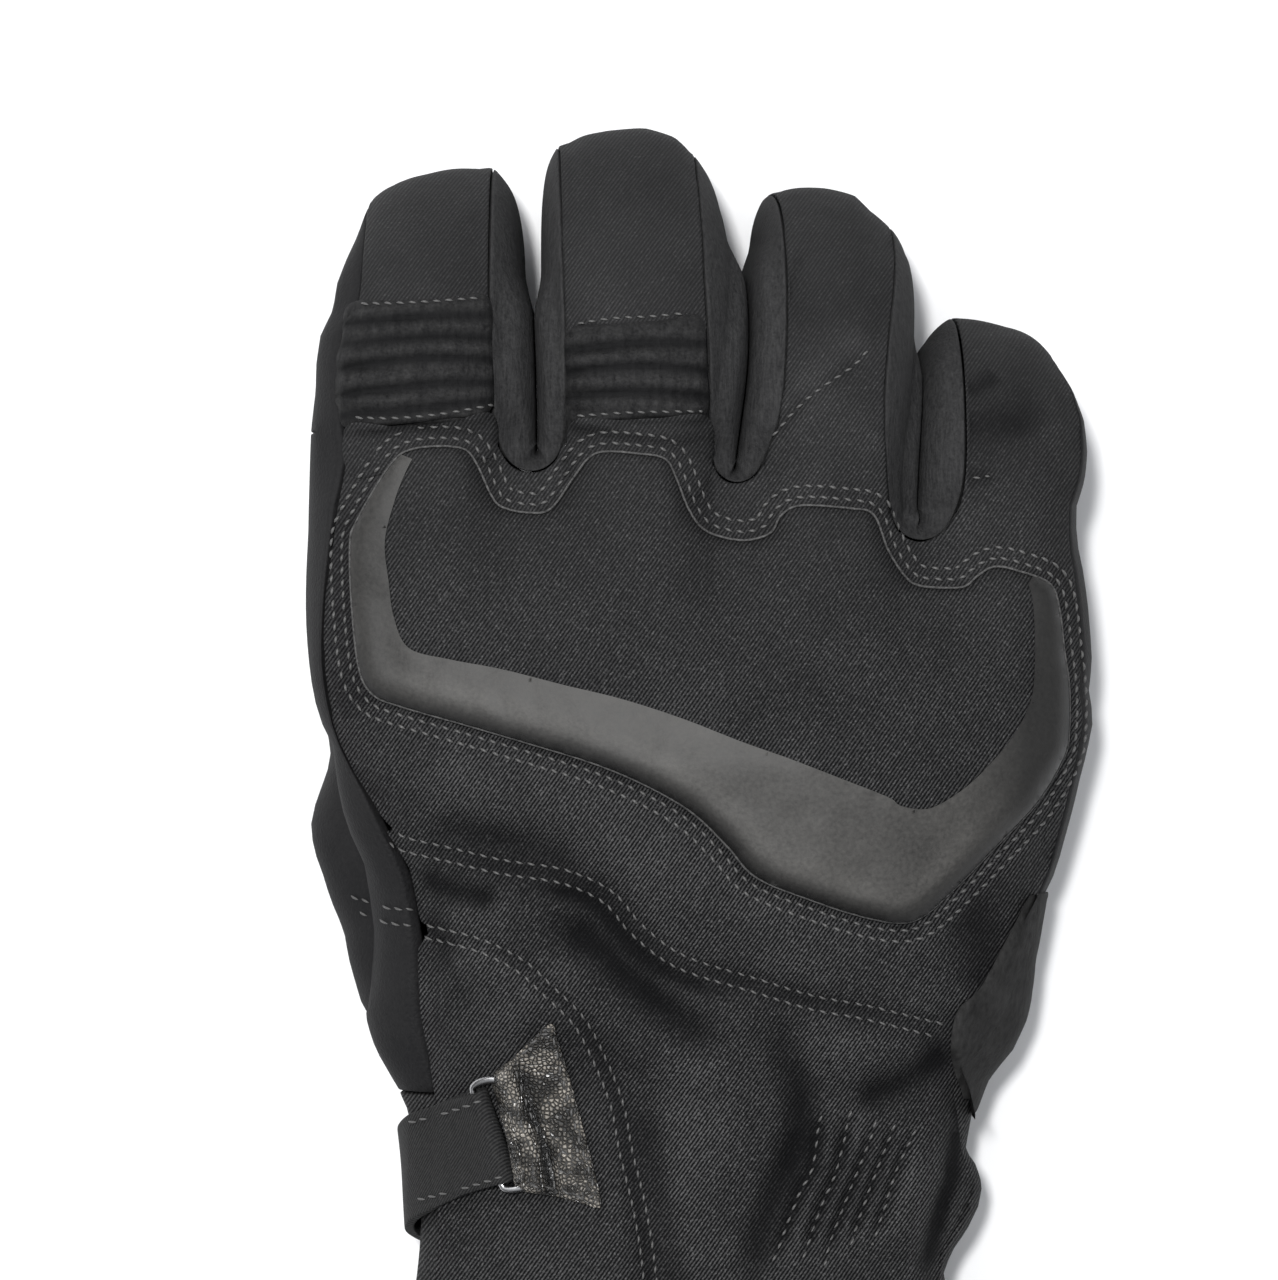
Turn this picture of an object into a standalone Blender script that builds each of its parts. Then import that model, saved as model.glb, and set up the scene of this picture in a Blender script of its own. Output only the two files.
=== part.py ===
"""Winter motorcycle glove for the right hand, lying palm down with its fingers curled on to the surface.

Lengths are in metres. +Y runs to the fingertips, +X to the little finger and +Z out of the back of the
hand. The walls are cut from two kinds of smooth surface: the body, an oval tube from the hem of the cuff
to the finger roots, and the fingers, oval tubes along bent centre lines.
"""
import math
from collections import namedtuple

import bmesh
import bpy
from mathutils import Vector

# Driving sizes of the whole glove
HAND_WIDTH = 0.1225
HAND_HEIGHT = 0.0590
BODY_LENGTH = 0.2060
FINGER_REACH = 0.0490
FINGER_THICKNESS = 0.0330
FINGER_BEND = 0.0190
FINGER_GAP = 0.0008
FINGERTIP_LENGTH = 0.0130
THUMB_LENGTH = 0.0710
THUMB_WIDTH = 0.0290

# Walls and clearances
CLOTH = 0.0024
LEATHER = 0.0020
KNIT = 0.0016
SEAM = 0.0004
SIDE_SEAM = 0.0013
CLEARANCE = 0.0004
LAID = 0.0009

# Padded knuckle piece
PAD_WIDTH = 0.1120
PAD_LENGTH = 0.0735
PAD_RISE = 0.0046
PAD_EDGE = 0.0012
PAD_SHOULDER = 0.86
BAND_THICKNESS = 0.0009
PIPING_DIAMETER = 0.0014

# Ribs, gathers and patches
RIB_RISE = 0.0015
RIB_COUNT = 4
RIB_ZONE = 0.0180
RIB_MARGIN = 0.12
RIB_ROUNDNESS = 0.7
RIB_FADE = 8
RIB_STAGE = 0.4
GATHER_WIDTH = 0.0250
GATHER_LENGTH = 0.0270
GATHER_RISE = 0.0022
GATHER_COUNT = 5
PANEL_THICKNESS = 0.0012
PATCH_LENGTH = 0.0360
PATCH_THICKNESS = 0.0012

# Strap, ring and tab at the wrist
STRAP_WIDTH = 0.0160
STRAP_THICKNESS = 0.0013
RING_LENGTH = 0.0205
RING_WIDTH = 0.0070
RING_WIRE = 0.0016
RING_SLACK = 0.0004
STRAP_FOLD = 0.0090
TAB_LENGTH = 0.0130
TAB_WIDTH = 0.0160
TAB_THICKNESS = 0.0011

# Roundness of the cross sections: 2 is an ellipse, and more is squarer
BODY_POWER = 2.5
FINGER_POWER = 2.3
BENT_POWER = 3.0
TIP_POWER = 2.2

# Cross sections of the body, from the hem to the finger roots. along is a share of BODY_LENGTH, left and
# right are shares of HAND_WIDTH, and top and the two bottoms are shares of HAND_HEIGHT.
Section = namedtuple("Section", "along left right top bottom_left bottom_right")
BODY = [
    Section(0.000, -0.465, 0.457, 0.93, -0.03, -0.03),
    Section(0.090, -0.449, 0.433, 0.91, -0.03, -0.03),
    Section(0.185, -0.424, 0.392, 0.88, -0.03, -0.03),
    Section(0.280, -0.392, 0.343, 0.83, -0.02, -0.02),
    Section(0.360, -0.371, 0.310, 0.78, 0.03, 0.03),
    Section(0.410, -0.374, 0.335, 0.765, 0.06, 0.05),
    Section(0.460, -0.378, 0.343, 0.77, 0.06, 0.05),
    Section(0.510, -0.394, 0.363, 0.80, 0.00, -0.03),
    Section(0.575, -0.420, 0.424, 0.87, 0.01, -0.05),
    Section(0.660, -0.420, 0.450, 0.93, 0.24, -0.05),
    Section(0.750, -0.462, 0.490, 0.98, 0.50, 0.06),
    Section(0.835, -0.499, 0.498, 1.00, 0.52, 0.14),
    Section(0.930, -0.496, 0.484, 1.00, 0.50, 0.24),
    Section(1.000, -0.492, 0.481, 0.97, 0.40, 0.32),
]

# Sections of each finger at its root, where its bend starts, halfway round the bend and at the fingertip.
# centre and half are shares of HAND_WIDTH, rise is half the thickness as a share of FINGER_THICKNESS, and
# the seams of the cloth back are shares of half.
Joint = namedtuple("Joint", "centre half rise left_seam right_seam")
# root_height is a share of HAND_HEIGHT, reach of FINGER_REACH, and bend of FINGER_BEND.
Finger = namedtuple("Finger", "root_height reach bend joints")
FINGERS = {
    "index": Finger(0.685, 0.855, 1.00, [
        Joint(-0.3555, 0.1405, 0.52, 0.70, 0.68),
        Joint(-0.3520, 0.1370, 0.50, 0.84, 0.62),
        Joint(-0.3450, 0.1250, 0.47, 0.80, 0.60),
        Joint(-0.3370, 0.1100, 0.43, 0.82, 0.62),
    ]),
    "middle": Finger(0.695, 1.000, 1.05, [
        Joint(-0.0845, 0.1235, 0.52, 0.78, 0.80),
        Joint(-0.0770, 0.1330, 0.51, 0.76, 0.66),
        Joint(-0.0870, 0.1270, 0.48, 0.78, 0.68),
        Joint(-0.0960, 0.1180, 0.43, 0.82, 0.72),
    ]),
    "ring": Finger(0.670, 0.810, 1.00, [
        Joint(0.1560, 0.1115, 0.50, 0.72, 0.76),
        Joint(0.1650, 0.1090, 0.49, 0.60, 0.62),
        Joint(0.1730, 0.1080, 0.46, 0.64, 0.74),
        Joint(0.1610, 0.1050, 0.42, 0.78, 0.78),
    ]),
    "little": Finger(0.575, 0.395, 0.68, [
        Joint(0.3800, 0.1050, 0.44, 0.52, 0.86),
        Joint(0.3830, 0.1060, 0.43, 0.46, 0.88),
        Joint(0.3800, 0.1000, 0.40, 0.46, 0.86),
        Joint(0.3650, 0.0890, 0.36, 0.50, 0.86),
    ]),
}
FINGER_NAMES = list(FINGERS)
PALM_SEAM = 0.74

# How far each finger root lies behind the end of the body, as a share of HAND_WIDTH: at the index side,
# in the three gaps between the fingers, and at the little finger side.
ROOT_LINE = [-0.014, 0.000, 0.022, 0.085, 0.078]
WEB_REACH = 0.0068
LOBE_FADE = 0.0300

# Outline of the knuckle pad, clockwise from the left of its first lobe. right is a share of PAD_WIDTH and
# up a share of PAD_LENGTH, both from the middle of the pad.
Corner = namedtuple("Corner", "right up")
PAD_OUTLINE = [
    Corner(-0.452, 0.462), Corner(-0.358, 0.495), Corner(-0.316, 0.388), Corner(-0.254, 0.352),
    Corner(-0.190, 0.380), Corner(-0.118, 0.476), Corner(-0.058, 0.460), Corner(-0.022, 0.330),
    Corner(0.034, 0.296), Corner(0.086, 0.316), Corner(0.140, 0.364), Corner(0.222, 0.340),
    Corner(0.262, 0.210), Corner(0.318, 0.192), Corner(0.384, 0.232), Corner(0.456, 0.190),
    Corner(0.486, 0.020), Corner(0.482, -0.130), Corner(0.430, -0.262), Corner(0.330, -0.410),
    Corner(0.262, -0.484), Corner(0.170, -0.460), Corner(0.036, -0.370), Corner(-0.044, -0.220),
    Corner(-0.140, -0.142), Corner(-0.296, -0.078), Corner(-0.436, -0.020), Corner(-0.498, 0.060),
    Corner(-0.506, 0.280),
]
PAD_RIGHT = 0.0012
PAD_AHEAD = 0.0401

# The film band on the pad. corner counts along the pad's outline, and inner is the band's inner edge as a
# share of the way out to the outline.
Band = namedtuple("Band", "corner inner")
BAND = [
    Band(15, 0.93), Band(16, 0.92), Band(17, 0.91), Band(18, 0.86), Band(19, 0.78), Band(20, 0.70),
    Band(21, 0.66), Band(22, 0.58), Band(23, 0.52), Band(24, 0.56), Band(25, 0.66), Band(26, 0.76),
    Band(27, 0.80), Band(28, 0.84), Band(29, 0.90),
]

# Seams on the back, across the hand from left to right. turn is in degrees round the body, and along is
# a share of BODY_LENGTH.
Seam = namedtuple("Seam", "turn along")
WRIST_SEAM = [
    Seam(153, 0.706), Seam(136, 0.676), Seam(118, 0.655), Seam(104, 0.628), Seam(94, 0.590),
    Seam(80, 0.563), Seam(62, 0.552), Seam(34, 0.540), Seam(17, 0.535),
]
PANEL_SEAM = [
    Seam(153, 0.626), Seam(136, 0.619), Seam(122, 0.602), Seam(114, 0.580), Seam(108, 0.554),
    Seam(104, 0.512), Seam(101, 0.450), Seam(97, 0.360), Seam(95, 0.200), Seam(94, 0.000),
]
SIDE_LEFT = 153
SIDE_RIGHT = 17
NORMAL_SPAN = 3

# Centre line of the thumb. right and ahead are shares of THUMB_LENGTH from the thumb's root, and up and
# wide are shares of THUMB_WIDTH.
Stage = namedtuple("Stage", "right ahead up wide")
THUMB = [
    Stage(0.050, -0.130, 0.72, 1.02), Stage(-0.020, 0.060, 0.66, 1.04), Stage(-0.075, 0.250, 0.56, 1.00),
    Stage(-0.070, 0.450, 0.485, 0.96), Stage(-0.020, 0.700, 0.445, 0.90), Stage(0.030, 0.850, 0.415, 0.80),
]
THUMB_RIGHT = -0.0405
THUMB_AHEAD = 0.0015
THUMB_TIP = 0.4
THUMB_INNER = 0.86

# Places at the wrist, as shares of BODY_LENGTH and degrees round the body
PALM_REAR = 0.500
PANEL_TOP = 0.85
HAND_ROWS = [0, 0.16, 0.32, 0.46, 0.60, 0.72, 0.84, 1.0]
CUFF_ROWS = [0, 0.28, 0.44, 0.54, 0.63, 0.72, 0.85, 0.93, 1.0]
STRAP_ALONG = 0.476
RING_TURN = 124
STRAP_END = 236
STRAP_SLANT = -0.00080
STRAP_LEAN = 75
GATHER_ALONG = 0.430
GATHER_TURN = 68
PATCH_ALONG = 0.570
PATCH_TURNS = (34, -22)


def read(rows, column, along):
    """Read a column of a table at any place, on a smooth curve through its rows."""
    places = [row.along for row in rows]
    values = [getattr(row, column) for row in rows]
    return smooth_curve(places, values, along)


def smooth_curve(places, values, place):
    """Cubic curve through the values, whose slope at each is that between its neighbours."""
    last = len(places) - 1
    place = min(max(place, min(places)), max(places))
    here = 0
    while here < last - 1 and (place - places[here + 1]) * (places[last] - places[0]) > 0:
        here += 1
    slopes = []
    for index in (here, here + 1):
        before = max(index - 1, 0)
        after = min(index + 1, last)
        slopes.append((values[after] - values[before]) / (places[after] - places[before]))
    step = places[here + 1] - places[here]
    share = (place - places[here]) / step
    square = share * share
    cube = square * share
    return (
        values[here] * (2 * cube - 3 * square + 1)
        + slopes[0] * step * (cube - 2 * square + share)
        + values[here + 1] * (3 * square - 2 * cube)
        + slopes[1] * step * (cube - square)
    )


def mix(start, end, share):
    return start + (end - start) * share


def ease(share):
    """A soft step from 0 to 1."""
    share = min(max(share, 0.0), 1.0)
    return share * share * (3 - 2 * share)


def oval(turn, power):
    """The point of a unit oval at an angle in degrees."""
    cosine = math.cos(math.radians(turn))
    sine = math.sin(math.radians(turn))
    across = math.copysign(abs(cosine) ** (2 / power), cosine)
    lift = math.copysign(abs(sine) ** (2 / power), sine)
    return across, lift


def turn_of(across, power):
    """The angle on the upper half of a unit oval where it is this far across."""
    across = min(max(across, -1.0), 1.0)
    return math.degrees(math.acos(math.copysign(abs(across) ** (power / 2), across)))


def body_y(along):
    """The hem and the finger roots lie so that the middle finger's reach is as far ahead as the hem is behind."""
    return (along - 1) * BODY_LENGTH + (BODY_LENGTH - FINGER_REACH) / 2


def body_along(y):
    return (y - body_y(0)) / BODY_LENGTH


# The gaps between the fingers

def finger_side(name, stage, side):
    """Outer edge of a finger at one of its four sections; side is -1 on the left and 1 on the right."""
    joint = FINGERS[name].joints[stage]
    return (joint.centre + side * joint.half) * HAND_WIDTH - side * FINGER_GAP / 2


def gap_middle(gap):
    """Middle of the gap between a finger and the next, at their roots."""
    return (finger_side(FINGER_NAMES[gap], 0, 1) + finger_side(FINGER_NAMES[gap + 1], 0, -1)) / 2


def gap_y(gap):
    return body_y(1) - ROOT_LINE[gap + 1] * HAND_WIDTH


def front_y(x):
    """The line across the hand where the fingers start: level at each gap and straight between them."""
    stops = [(finger_side("index", 0, -1), body_y(1) - ROOT_LINE[0] * HAND_WIDTH)]
    for gap in range(3):
        stops.append((gap_middle(gap) - WEB_REACH, gap_y(gap)))
        stops.append((gap_middle(gap) + WEB_REACH, gap_y(gap)))
    stops.append((finger_side("little", 0, 1), body_y(1) - ROOT_LINE[4] * HAND_WIDTH))
    if x <= stops[0][0]:
        return stops[0][1]
    for (x_left, y_left), (x_right, y_right) in zip(stops, stops[1:]):
        if x <= x_right:
            return mix(y_left, y_right, (x - x_left) / (x_right - x_left))
    return stops[-1][1]


def seam_share(name, stage_share, side, face):
    """How far out the back's or the palm's seam lies on a finger, as a share of its half width."""
    if face < 0:
        return PALM_SEAM
    column = "left_seam" if side < 0 else "right_seam"
    return finger_value(name, column, stage_share)


def web_radius(gap, side, face):
    """Distance from the middle of a gap to the seam on the finger at its left or its right."""
    name = FINGER_NAMES[gap] if side < 0 else FINGER_NAMES[gap + 1]
    joint = FINGERS[name].joints[0]
    half = joint.half * HAND_WIDTH - FINGER_GAP / 2
    return half * (1 - seam_share(name, 0, -side, face)) + abs(finger_side(name, 0, -side) - gap_middle(gap))


def root_z(x, face):
    """Height of the finger roots' surface at x, above for face 1 and below for face -1."""
    for gap in range(3):
        reach = x - gap_middle(gap)
        left = web_radius(gap, -1, face)
        right = web_radius(gap, 1, face)
        if -left < reach < right:
            low = root_surface(FINGER_NAMES[gap], gap_middle(gap) - left, face)
            high = root_surface(FINGER_NAMES[gap + 1], gap_middle(gap) + right, face)
            return mix(low, high, (reach + left) / (left + right))
    for gap in range(3):
        if x < gap_middle(gap):
            return root_surface(FINGER_NAMES[gap], x, face)
    return root_surface("little", x, face)


def root_surface(name, x, face):
    joint = FINGERS[name].joints[0]
    half = joint.half * HAND_WIDTH - FINGER_GAP / 2
    across = min(abs(x - joint.centre * HAND_WIDTH) / half, 1.0)
    rise = joint.rise * FINGER_THICKNESS * (1 - across ** FINGER_POWER) ** (1 / FINGER_POWER)
    return FINGERS[name].root_height * HAND_HEIGHT + face * rise


# The two kinds of surface

def body_point(turn, along):
    """A point of the body's outer surface. It splits into four lobes as it nears the finger roots."""
    across, lift = oval(turn, BODY_POWER)
    left = read(BODY, "left", along) * HAND_WIDTH
    right = read(BODY, "right", along) * HAND_WIDTH
    x = mix(left, right, (across + 1) / 2)
    y = body_y(along)
    top = read(BODY, "top", along)
    bottom = mix(read(BODY, "bottom_left", along), read(BODY, "bottom_right", along), ease((across + 1) / 2))
    z = mix(bottom, top, (lift + 1) / 2) * HAND_HEIGHT
    nearness = ease((y - front_y(x) + WEB_REACH + LOBE_FADE) / LOBE_FADE)
    if nearness > 0:
        z = mix(z, root_z(x, math.copysign(1, lift)), nearness)
    return Vector((x, y, z))


def body_turn(x, along):
    """The angle on the body's upper half that lies over x."""
    left = read(BODY, "left", along) * HAND_WIDTH
    right = read(BODY, "right", along) * HAND_WIDTH
    return turn_of((2 * x - left - right) / (right - left), BODY_POWER)


def finger_value(name, column, stage_share):
    """A column of a finger's four sections, which lie evenly from its root, 0, to its fingertip, 1."""
    joints = FINGERS[name].joints
    values = [getattr(joint, column) for joint in joints]
    places = [index / (len(joints) - 1) for index in range(len(joints))]
    return smooth_curve(places, values, stage_share)


def finger_power(stage_share):
    """Roundness of a finger's section: as the body's at its root, and squarer from its bend on."""
    return mix(FINGER_POWER, BENT_POWER, ease(3 * stage_share))


def finger_lengths(name):
    """Lengths of a finger's straight start, its quarter turn and its straight end, and the bend's radius."""
    finger = FINGERS[name]
    radius = finger.bend * FINGER_BEND
    front = body_y(1) + finger.reach * FINGER_REACH
    tip_rise = finger_value(name, "rise", 0.75) * FINGER_THICKNESS
    start = front - tip_rise - radius - finger_root_y(name)
    end = finger.root_height * HAND_HEIGHT - radius - FINGERTIP_LENGTH
    return start, radius * math.pi / 2, end, radius


def finger_root_y(name):
    return front_y(FINGERS[name].joints[0].centre * HAND_WIDTH)


def stage_at(name, run):
    """Where a distance along the centre line lies among the finger's four sections."""
    start, turn, end, radius = finger_lengths(name)
    stops = [0, start, start + turn / 2, start + turn + end]
    for index in range(3):
        if run <= stops[index + 1]:
            return (index + max(run - stops[index], 0) / (stops[index + 1] - stops[index])) / 3
    return 1.0


def finger_point(name, turn, run, rise=0.0):
    """A point of a finger's outer surface, run metres along its centre line, rise above the surface."""
    start, bend, end, radius = finger_lengths(name)
    total = start + bend + end
    stage = stage_at(name, run)
    across, lift = oval(turn, finger_power(stage))
    half = finger_value(name, "half", stage) * HAND_WIDTH - FINGER_GAP / 2
    thick = finger_value(name, "rise", stage) * FINGER_THICKNESS
    tip = min(max((run - total) / FINGERTIP_LENGTH, 0.0), 1.0)
    shrink = max(1 - tip ** TIP_POWER, 0.0) ** (1 / TIP_POWER)
    x = finger_value(name, "centre", stage) * HAND_WIDTH + half * across * shrink + rise * across
    out = (thick * shrink + rise) * lift
    root_z_value = FINGERS[name].root_height * HAND_HEIGHT
    if run <= start:
        shear = (front_y(x) - finger_root_y(name)) * (1 - max(run, 0) / start)
        return Vector((x, finger_root_y(name) + run + shear, root_z_value + out))
    if run <= start + bend:
        angle = (run - start) / radius
        reach = radius + out
        y = finger_root_y(name) + start + reach * math.sin(angle)
        return Vector((x, y, root_z_value - radius + reach * math.cos(angle)))
    y = finger_root_y(name) + start + radius + out
    return Vector((x, y, root_z_value - radius - (run - start - bend)))


def finger_seam_turn(name, run, side, face):
    """Angle round a finger of the seam at its left, side -1, or right, on its back, face 1, or palm."""
    stage = stage_at(name, run)
    turn = turn_of(side * seam_share(name, stage, side, face), finger_power(stage))
    return turn if face > 0 else -turn


def finger_total(name):
    start, bend, end, radius = finger_lengths(name)
    return start + bend + end


# Building of walls

def material(name, colour, roughness, metallic=0.0):
    made = bpy.data.materials.new(name)
    made.use_nodes = True
    shader = made.node_tree.nodes["Principled BSDF"]
    shader.inputs["Base Color"].default_value = (*colour, 1.0)
    shader.inputs["Roughness"].default_value = roughness
    shader.inputs["Metallic"].default_value = metallic
    made.diffuse_color = (*colour, 1.0)
    return made


def normal_at(place, across, ahead):
    """Unit normal of a surface place(across, ahead), whose two shares run from 0 to 1."""
    step = 0.004
    low_u, high_u = max(across - step, 0), min(across + step, 1)
    low_v, high_v = max(ahead - step, 0), min(ahead + step, 1)
    along_u = place(high_u, ahead) - place(low_u, ahead)
    along_v = place(across, high_v) - place(across, low_v)
    return along_v.cross(along_u).normalized()


def steps(count):
    return [index / count for index in range(count + 1)]


def resting(point, lowest):
    """A soft wall is flattened where it rests."""
    return Vector((point.x, point.y, max(point.z, lowest)))


def trim(outer, inner, sides="abcd", width=SEAM):
    """Draw the edges in by half a seam's width: a and b are the first and last row, c and d the columns."""
    last_row = len(outer) - 1
    last_column = len(outer[0]) - 1
    moves = []
    for column in range(last_column + 1):
        if "a" in sides:
            moves.append((0, column, 1, column))
        if "b" in sides:
            moves.append((last_row, column, last_row - 1, column))
    for row in range(last_row + 1):
        if "c" in sides:
            moves.append((row, 0, row, 1))
        if "d" in sides:
            moves.append((row, last_column, row, last_column - 1))
    shifts = {}
    for row, column, next_row, next_column in moves:
        way = outer[next_row][next_column] - outer[row][column]
        if way.length > 1e-7:
            shifts.setdefault((row, column), Vector()).__iadd__(way.normalized() * (width / 2))
    for (row, column), shift in shifts.items():
        outer[row][column] = outer[row][column] + shift
        inner[row][column] = inner[row][column] + shift
    return outer, inner


def body_from_grids(name, finish, outer, inner, closed=False):
    """One closed body from two grids of points: the two faces, and a rim wherever the grid has an edge."""
    shape = bmesh.new()
    rows = len(outer)
    columns = len(outer[0])
    outer_verts = [[shape.verts.new(point) for point in row] for row in outer]
    inner_verts = [[shape.verts.new(point) for point in row] for row in inner]
    across = columns if closed else columns - 1
    for row in range(rows - 1):
        for column in range(across):
            beside = (column + 1) % columns
            corners = [(row, column), (row, beside), (row + 1, beside), (row + 1, column)]
            shape.faces.new([outer_verts[i][j] for i, j in corners])
            shape.faces.new([inner_verts[i][j] for i, j in reversed(corners)])
    for row in (0, rows - 1):
        for column in range(across):
            beside = (column + 1) % columns
            ends = [outer_verts[row][column], outer_verts[row][beside]]
            shape.faces.new(ends + [inner_verts[row][beside], inner_verts[row][column]])
    if not closed:
        for column in (0, columns - 1):
            for row in range(rows - 1):
                ends = [outer_verts[row][column], outer_verts[row + 1][column]]
                shape.faces.new(ends + [inner_verts[row + 1][column], inner_verts[row][column]])
    bmesh.ops.remove_doubles(shape, verts=shape.verts[:], dist=2e-6)
    bmesh.ops.triangulate(shape, faces=shape.faces[:])
    bmesh.ops.recalc_face_normals(shape, faces=shape.faces[:])
    return add_object(name, finish, shape)


def add_object(name, finish, shape, collection=None):
    mesh = bpy.data.meshes.new(name)
    shape.to_mesh(mesh)
    shape.free()
    mesh.shade_smooth()
    mesh.set_sharp_from_angle(angle=math.radians(40))
    mesh.materials.append(finish)
    made = bpy.data.objects.new(name, mesh)
    (collection or glove).objects.link(made)
    return made


# The body's pieces

def seam_at(rows, share):
    """A point of a seam, as its angle and its place along the body, a share of the way over its rows."""
    places = [index / (len(rows) - 1) for index in range(len(rows))]
    turn = smooth_curve(places, [row.turn for row in rows], share)
    along = smooth_curve(places, [row.along for row in rows], share)
    return turn, along


def wrist_along(turn):
    """How far along the body the wrist seam lies at an angle."""
    return smooth_curve([row.turn for row in WRIST_SEAM], [row.along for row in WRIST_SEAM], turn)


def front_edge(face):
    """Points along the finger roots from left to right: over each finger, and round each web between."""
    points = []
    for index, name in enumerate(FINGER_NAMES):
        joint = FINGERS[name].joints[0]
        half = joint.half * HAND_WIDTH - FINGER_GAP / 2
        centre = joint.centre * HAND_WIDTH
        left = centre - half * seam_share(name, 0, -1, face)
        right = centre + half * seam_share(name, 0, 1, face)
        first = turn_of((left - centre) / half, FINGER_POWER)
        last = turn_of((right - centre) / half, FINGER_POWER)
        for share in steps(4):
            x = centre + half * oval(mix(first, last, share), FINGER_POWER)[0]
            points.append((x, front_y(x)))
        if index < 3:
            for angle in (45, 90, 135):
                points.append(web_edge(index, angle, face))
    return points


def web_edge(gap, angle, face):
    """Plan position of the rim of the web between two fingers, 0 at its left and 180 at its right."""
    share = (1 - math.cos(math.radians(angle))) / 2
    radius = mix(web_radius(gap, -1, face), web_radius(gap, 1, face), share)
    x = gap_middle(gap) - radius * math.cos(math.radians(angle))
    return x, gap_y(gap) - radius * math.sin(math.radians(angle))


def body_normal(turn, along):
    """Outward unit normal of the body's surface."""
    aside = body_point(turn + NORMAL_SPAN, along) - body_point(turn - NORMAL_SPAN, along)
    ahead = body_point(turn, min(along + 0.003, 1.01)) - body_point(turn, along - 0.003)
    return ahead.cross(aside).normalized()


def body_patch(turn_and_along, columns, rows, wall):
    """Outer and inner grids of a wall that follows the body, from a map of shares to angle and place."""
    outer = []
    inner = []
    for ahead in rows:
        outer_row = []
        inner_row = []
        for across in columns:
            turn, along = turn_and_along(across, ahead)
            point = body_point(turn, along)
            outer_row.append(resting(point, 0))
            inner_row.append(resting(point - body_normal(turn, along) * wall, wall))
        outer.append(outer_row)
        inner.append(inner_row)
    return outer, inner


def make_palm():
    """Leather under the hand and up both its sides, from the wrist to the finger roots."""
    edge = front_edge(-1)
    under = [360 - body_turn(x, body_along(y)) for x, y in edge]
    left = [mix(SIDE_LEFT, under[0], share) for share in steps(4)][:-1]
    right = [mix(under[-1], 360 + SIDE_RIGHT, share) for share in steps(3)][1:]
    turns = left + under + right
    fronts = [front_along(turn) for turn in left]
    fronts += [body_along(y) for x, y in edge]
    fronts += [front_along(turn) for turn in right]
    fronts[0] = back_columns()[1][0]
    fronts[-1] = back_columns()[1][-1]

    def map_wall(across, ahead):
        index = round(across * (len(turns) - 1))
        if ahead < 0:
            return turns[index], PALM_REAR
        return turns[index], mix(WRIST_SEAM[-1].along, fronts[index], ahead)

    outer, inner = body_patch(map_wall, steps(len(turns) - 1), [-1] + HAND_ROWS, LEATHER)
    for outer_point, inner_point in zip(outer[-1], inner[-1]):
        inner_point.y = outer_point.y
    trim(outer, inner, "ab")
    trim(outer, inner, "cd", SIDE_SEAM)
    return body_from_grids("palm", LEATHER_FINISH, outer, inner)


def front_along(turn):
    """Where the body ends at an angle on one of its sides."""
    x = body_point(turn, 0.98).x
    return body_along(front_y(x))


def back_columns():
    """Angles of the columns over the back, where they end at the finger roots, and their shares across."""
    edge = front_edge(1)
    turns = [body_turn(x, body_along(y)) for x, y in edge]
    turns[0] = SIDE_LEFT
    turns[-1] = SIDE_RIGHT
    fronts = [body_along(y) for x, y in edge]
    shares = [(turn - SIDE_LEFT) / (SIDE_RIGHT - SIDE_LEFT) for turn in turns]
    return turns, fronts, shares


def make_hand_back():
    """Cloth over the back of the hand, from the wrist seam to the finger roots."""
    turns, fronts, shares = back_columns()

    def map_wall(across, ahead):
        index = round(across * (len(turns) - 1))
        return turns[index], mix(wrist_along(turns[index]), fronts[index], ahead)

    outer, inner = body_patch(map_wall, steps(len(turns) - 1), HAND_ROWS, CLOTH)
    for outer_point, inner_point in zip(outer[-1], inner[-1]):
        inner_point.y = outer_point.y
    trim(outer, inner)
    return body_from_grids("hand_back", CLOTH_FINISH, outer, inner)


def make_cuff_back():
    """Cloth over the wrist, between the wrist seam, the panel's seam, the right side and the hem."""
    turns, fronts, shares = back_columns()

    def map_wall(across, ahead):
        if ahead > PANEL_TOP:
            left = mix(PANEL_SEAM[0].along, WRIST_SEAM[0].along, (ahead - PANEL_TOP) / (1 - PANEL_TOP))
            left_turn = SIDE_LEFT
        else:
            left_turn, left = seam_at(PANEL_SEAM, 1 - ahead / PANEL_TOP)
        turn = mix(left_turn, SIDE_RIGHT, across)
        along = mix(left, mix(0, WRIST_SEAM[-1].along, ahead), across)
        if ahead > 0.6:
            pull = (ahead - 0.6) / 0.4
            along = mix(along, wrist_along(turn), pull * mix(ease(across * 8), 1, pull ** 4))
            along = min(along, wrist_along(turn) - (1 - ahead) * 0.16)
        return turn, along

    outer, inner = body_patch(map_wall, shares, CUFF_ROWS, CLOTH)
    trim(outer, inner)
    return body_from_grids("cuff_back", CLOTH_FINISH, outer, inner)


def make_wrist_panel():
    """Cloth panel on the thumb side of the wrist, under the strap and the tab."""
    def map_wall(across, ahead):
        turn, along = seam_at(PANEL_SEAM, 1 - ahead)
        left = mix(0, PANEL_SEAM[0].along - 0.004, ahead)
        return mix(SIDE_LEFT, turn, across), mix(left, along, across)

    rows = [row / PANEL_TOP for row in CUFF_ROWS if row < PANEL_TOP] + [0.985]
    outer, inner = body_patch(map_wall, steps(5), rows, CLOTH)
    trim(outer, inner)
    return body_from_grids("wrist_panel", CLOTH_FINISH, outer, inner)


def make_cuff_palm():
    """Cloth under the wrist and up both its sides, back to the hem."""
    def map_wall(across, ahead):
        return mix(SIDE_LEFT, 360 + SIDE_RIGHT, across), mix(0, PALM_REAR, ahead)

    outer, inner = body_patch(map_wall, steps(20), [0, 0.35, 0.64, 0.8, 0.9, 1.0], CLOTH)
    trim(outer, inner)
    return body_from_grids("cuff_palm", CLOTH_FINISH, outer, inner)


# The fingers' pieces

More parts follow.
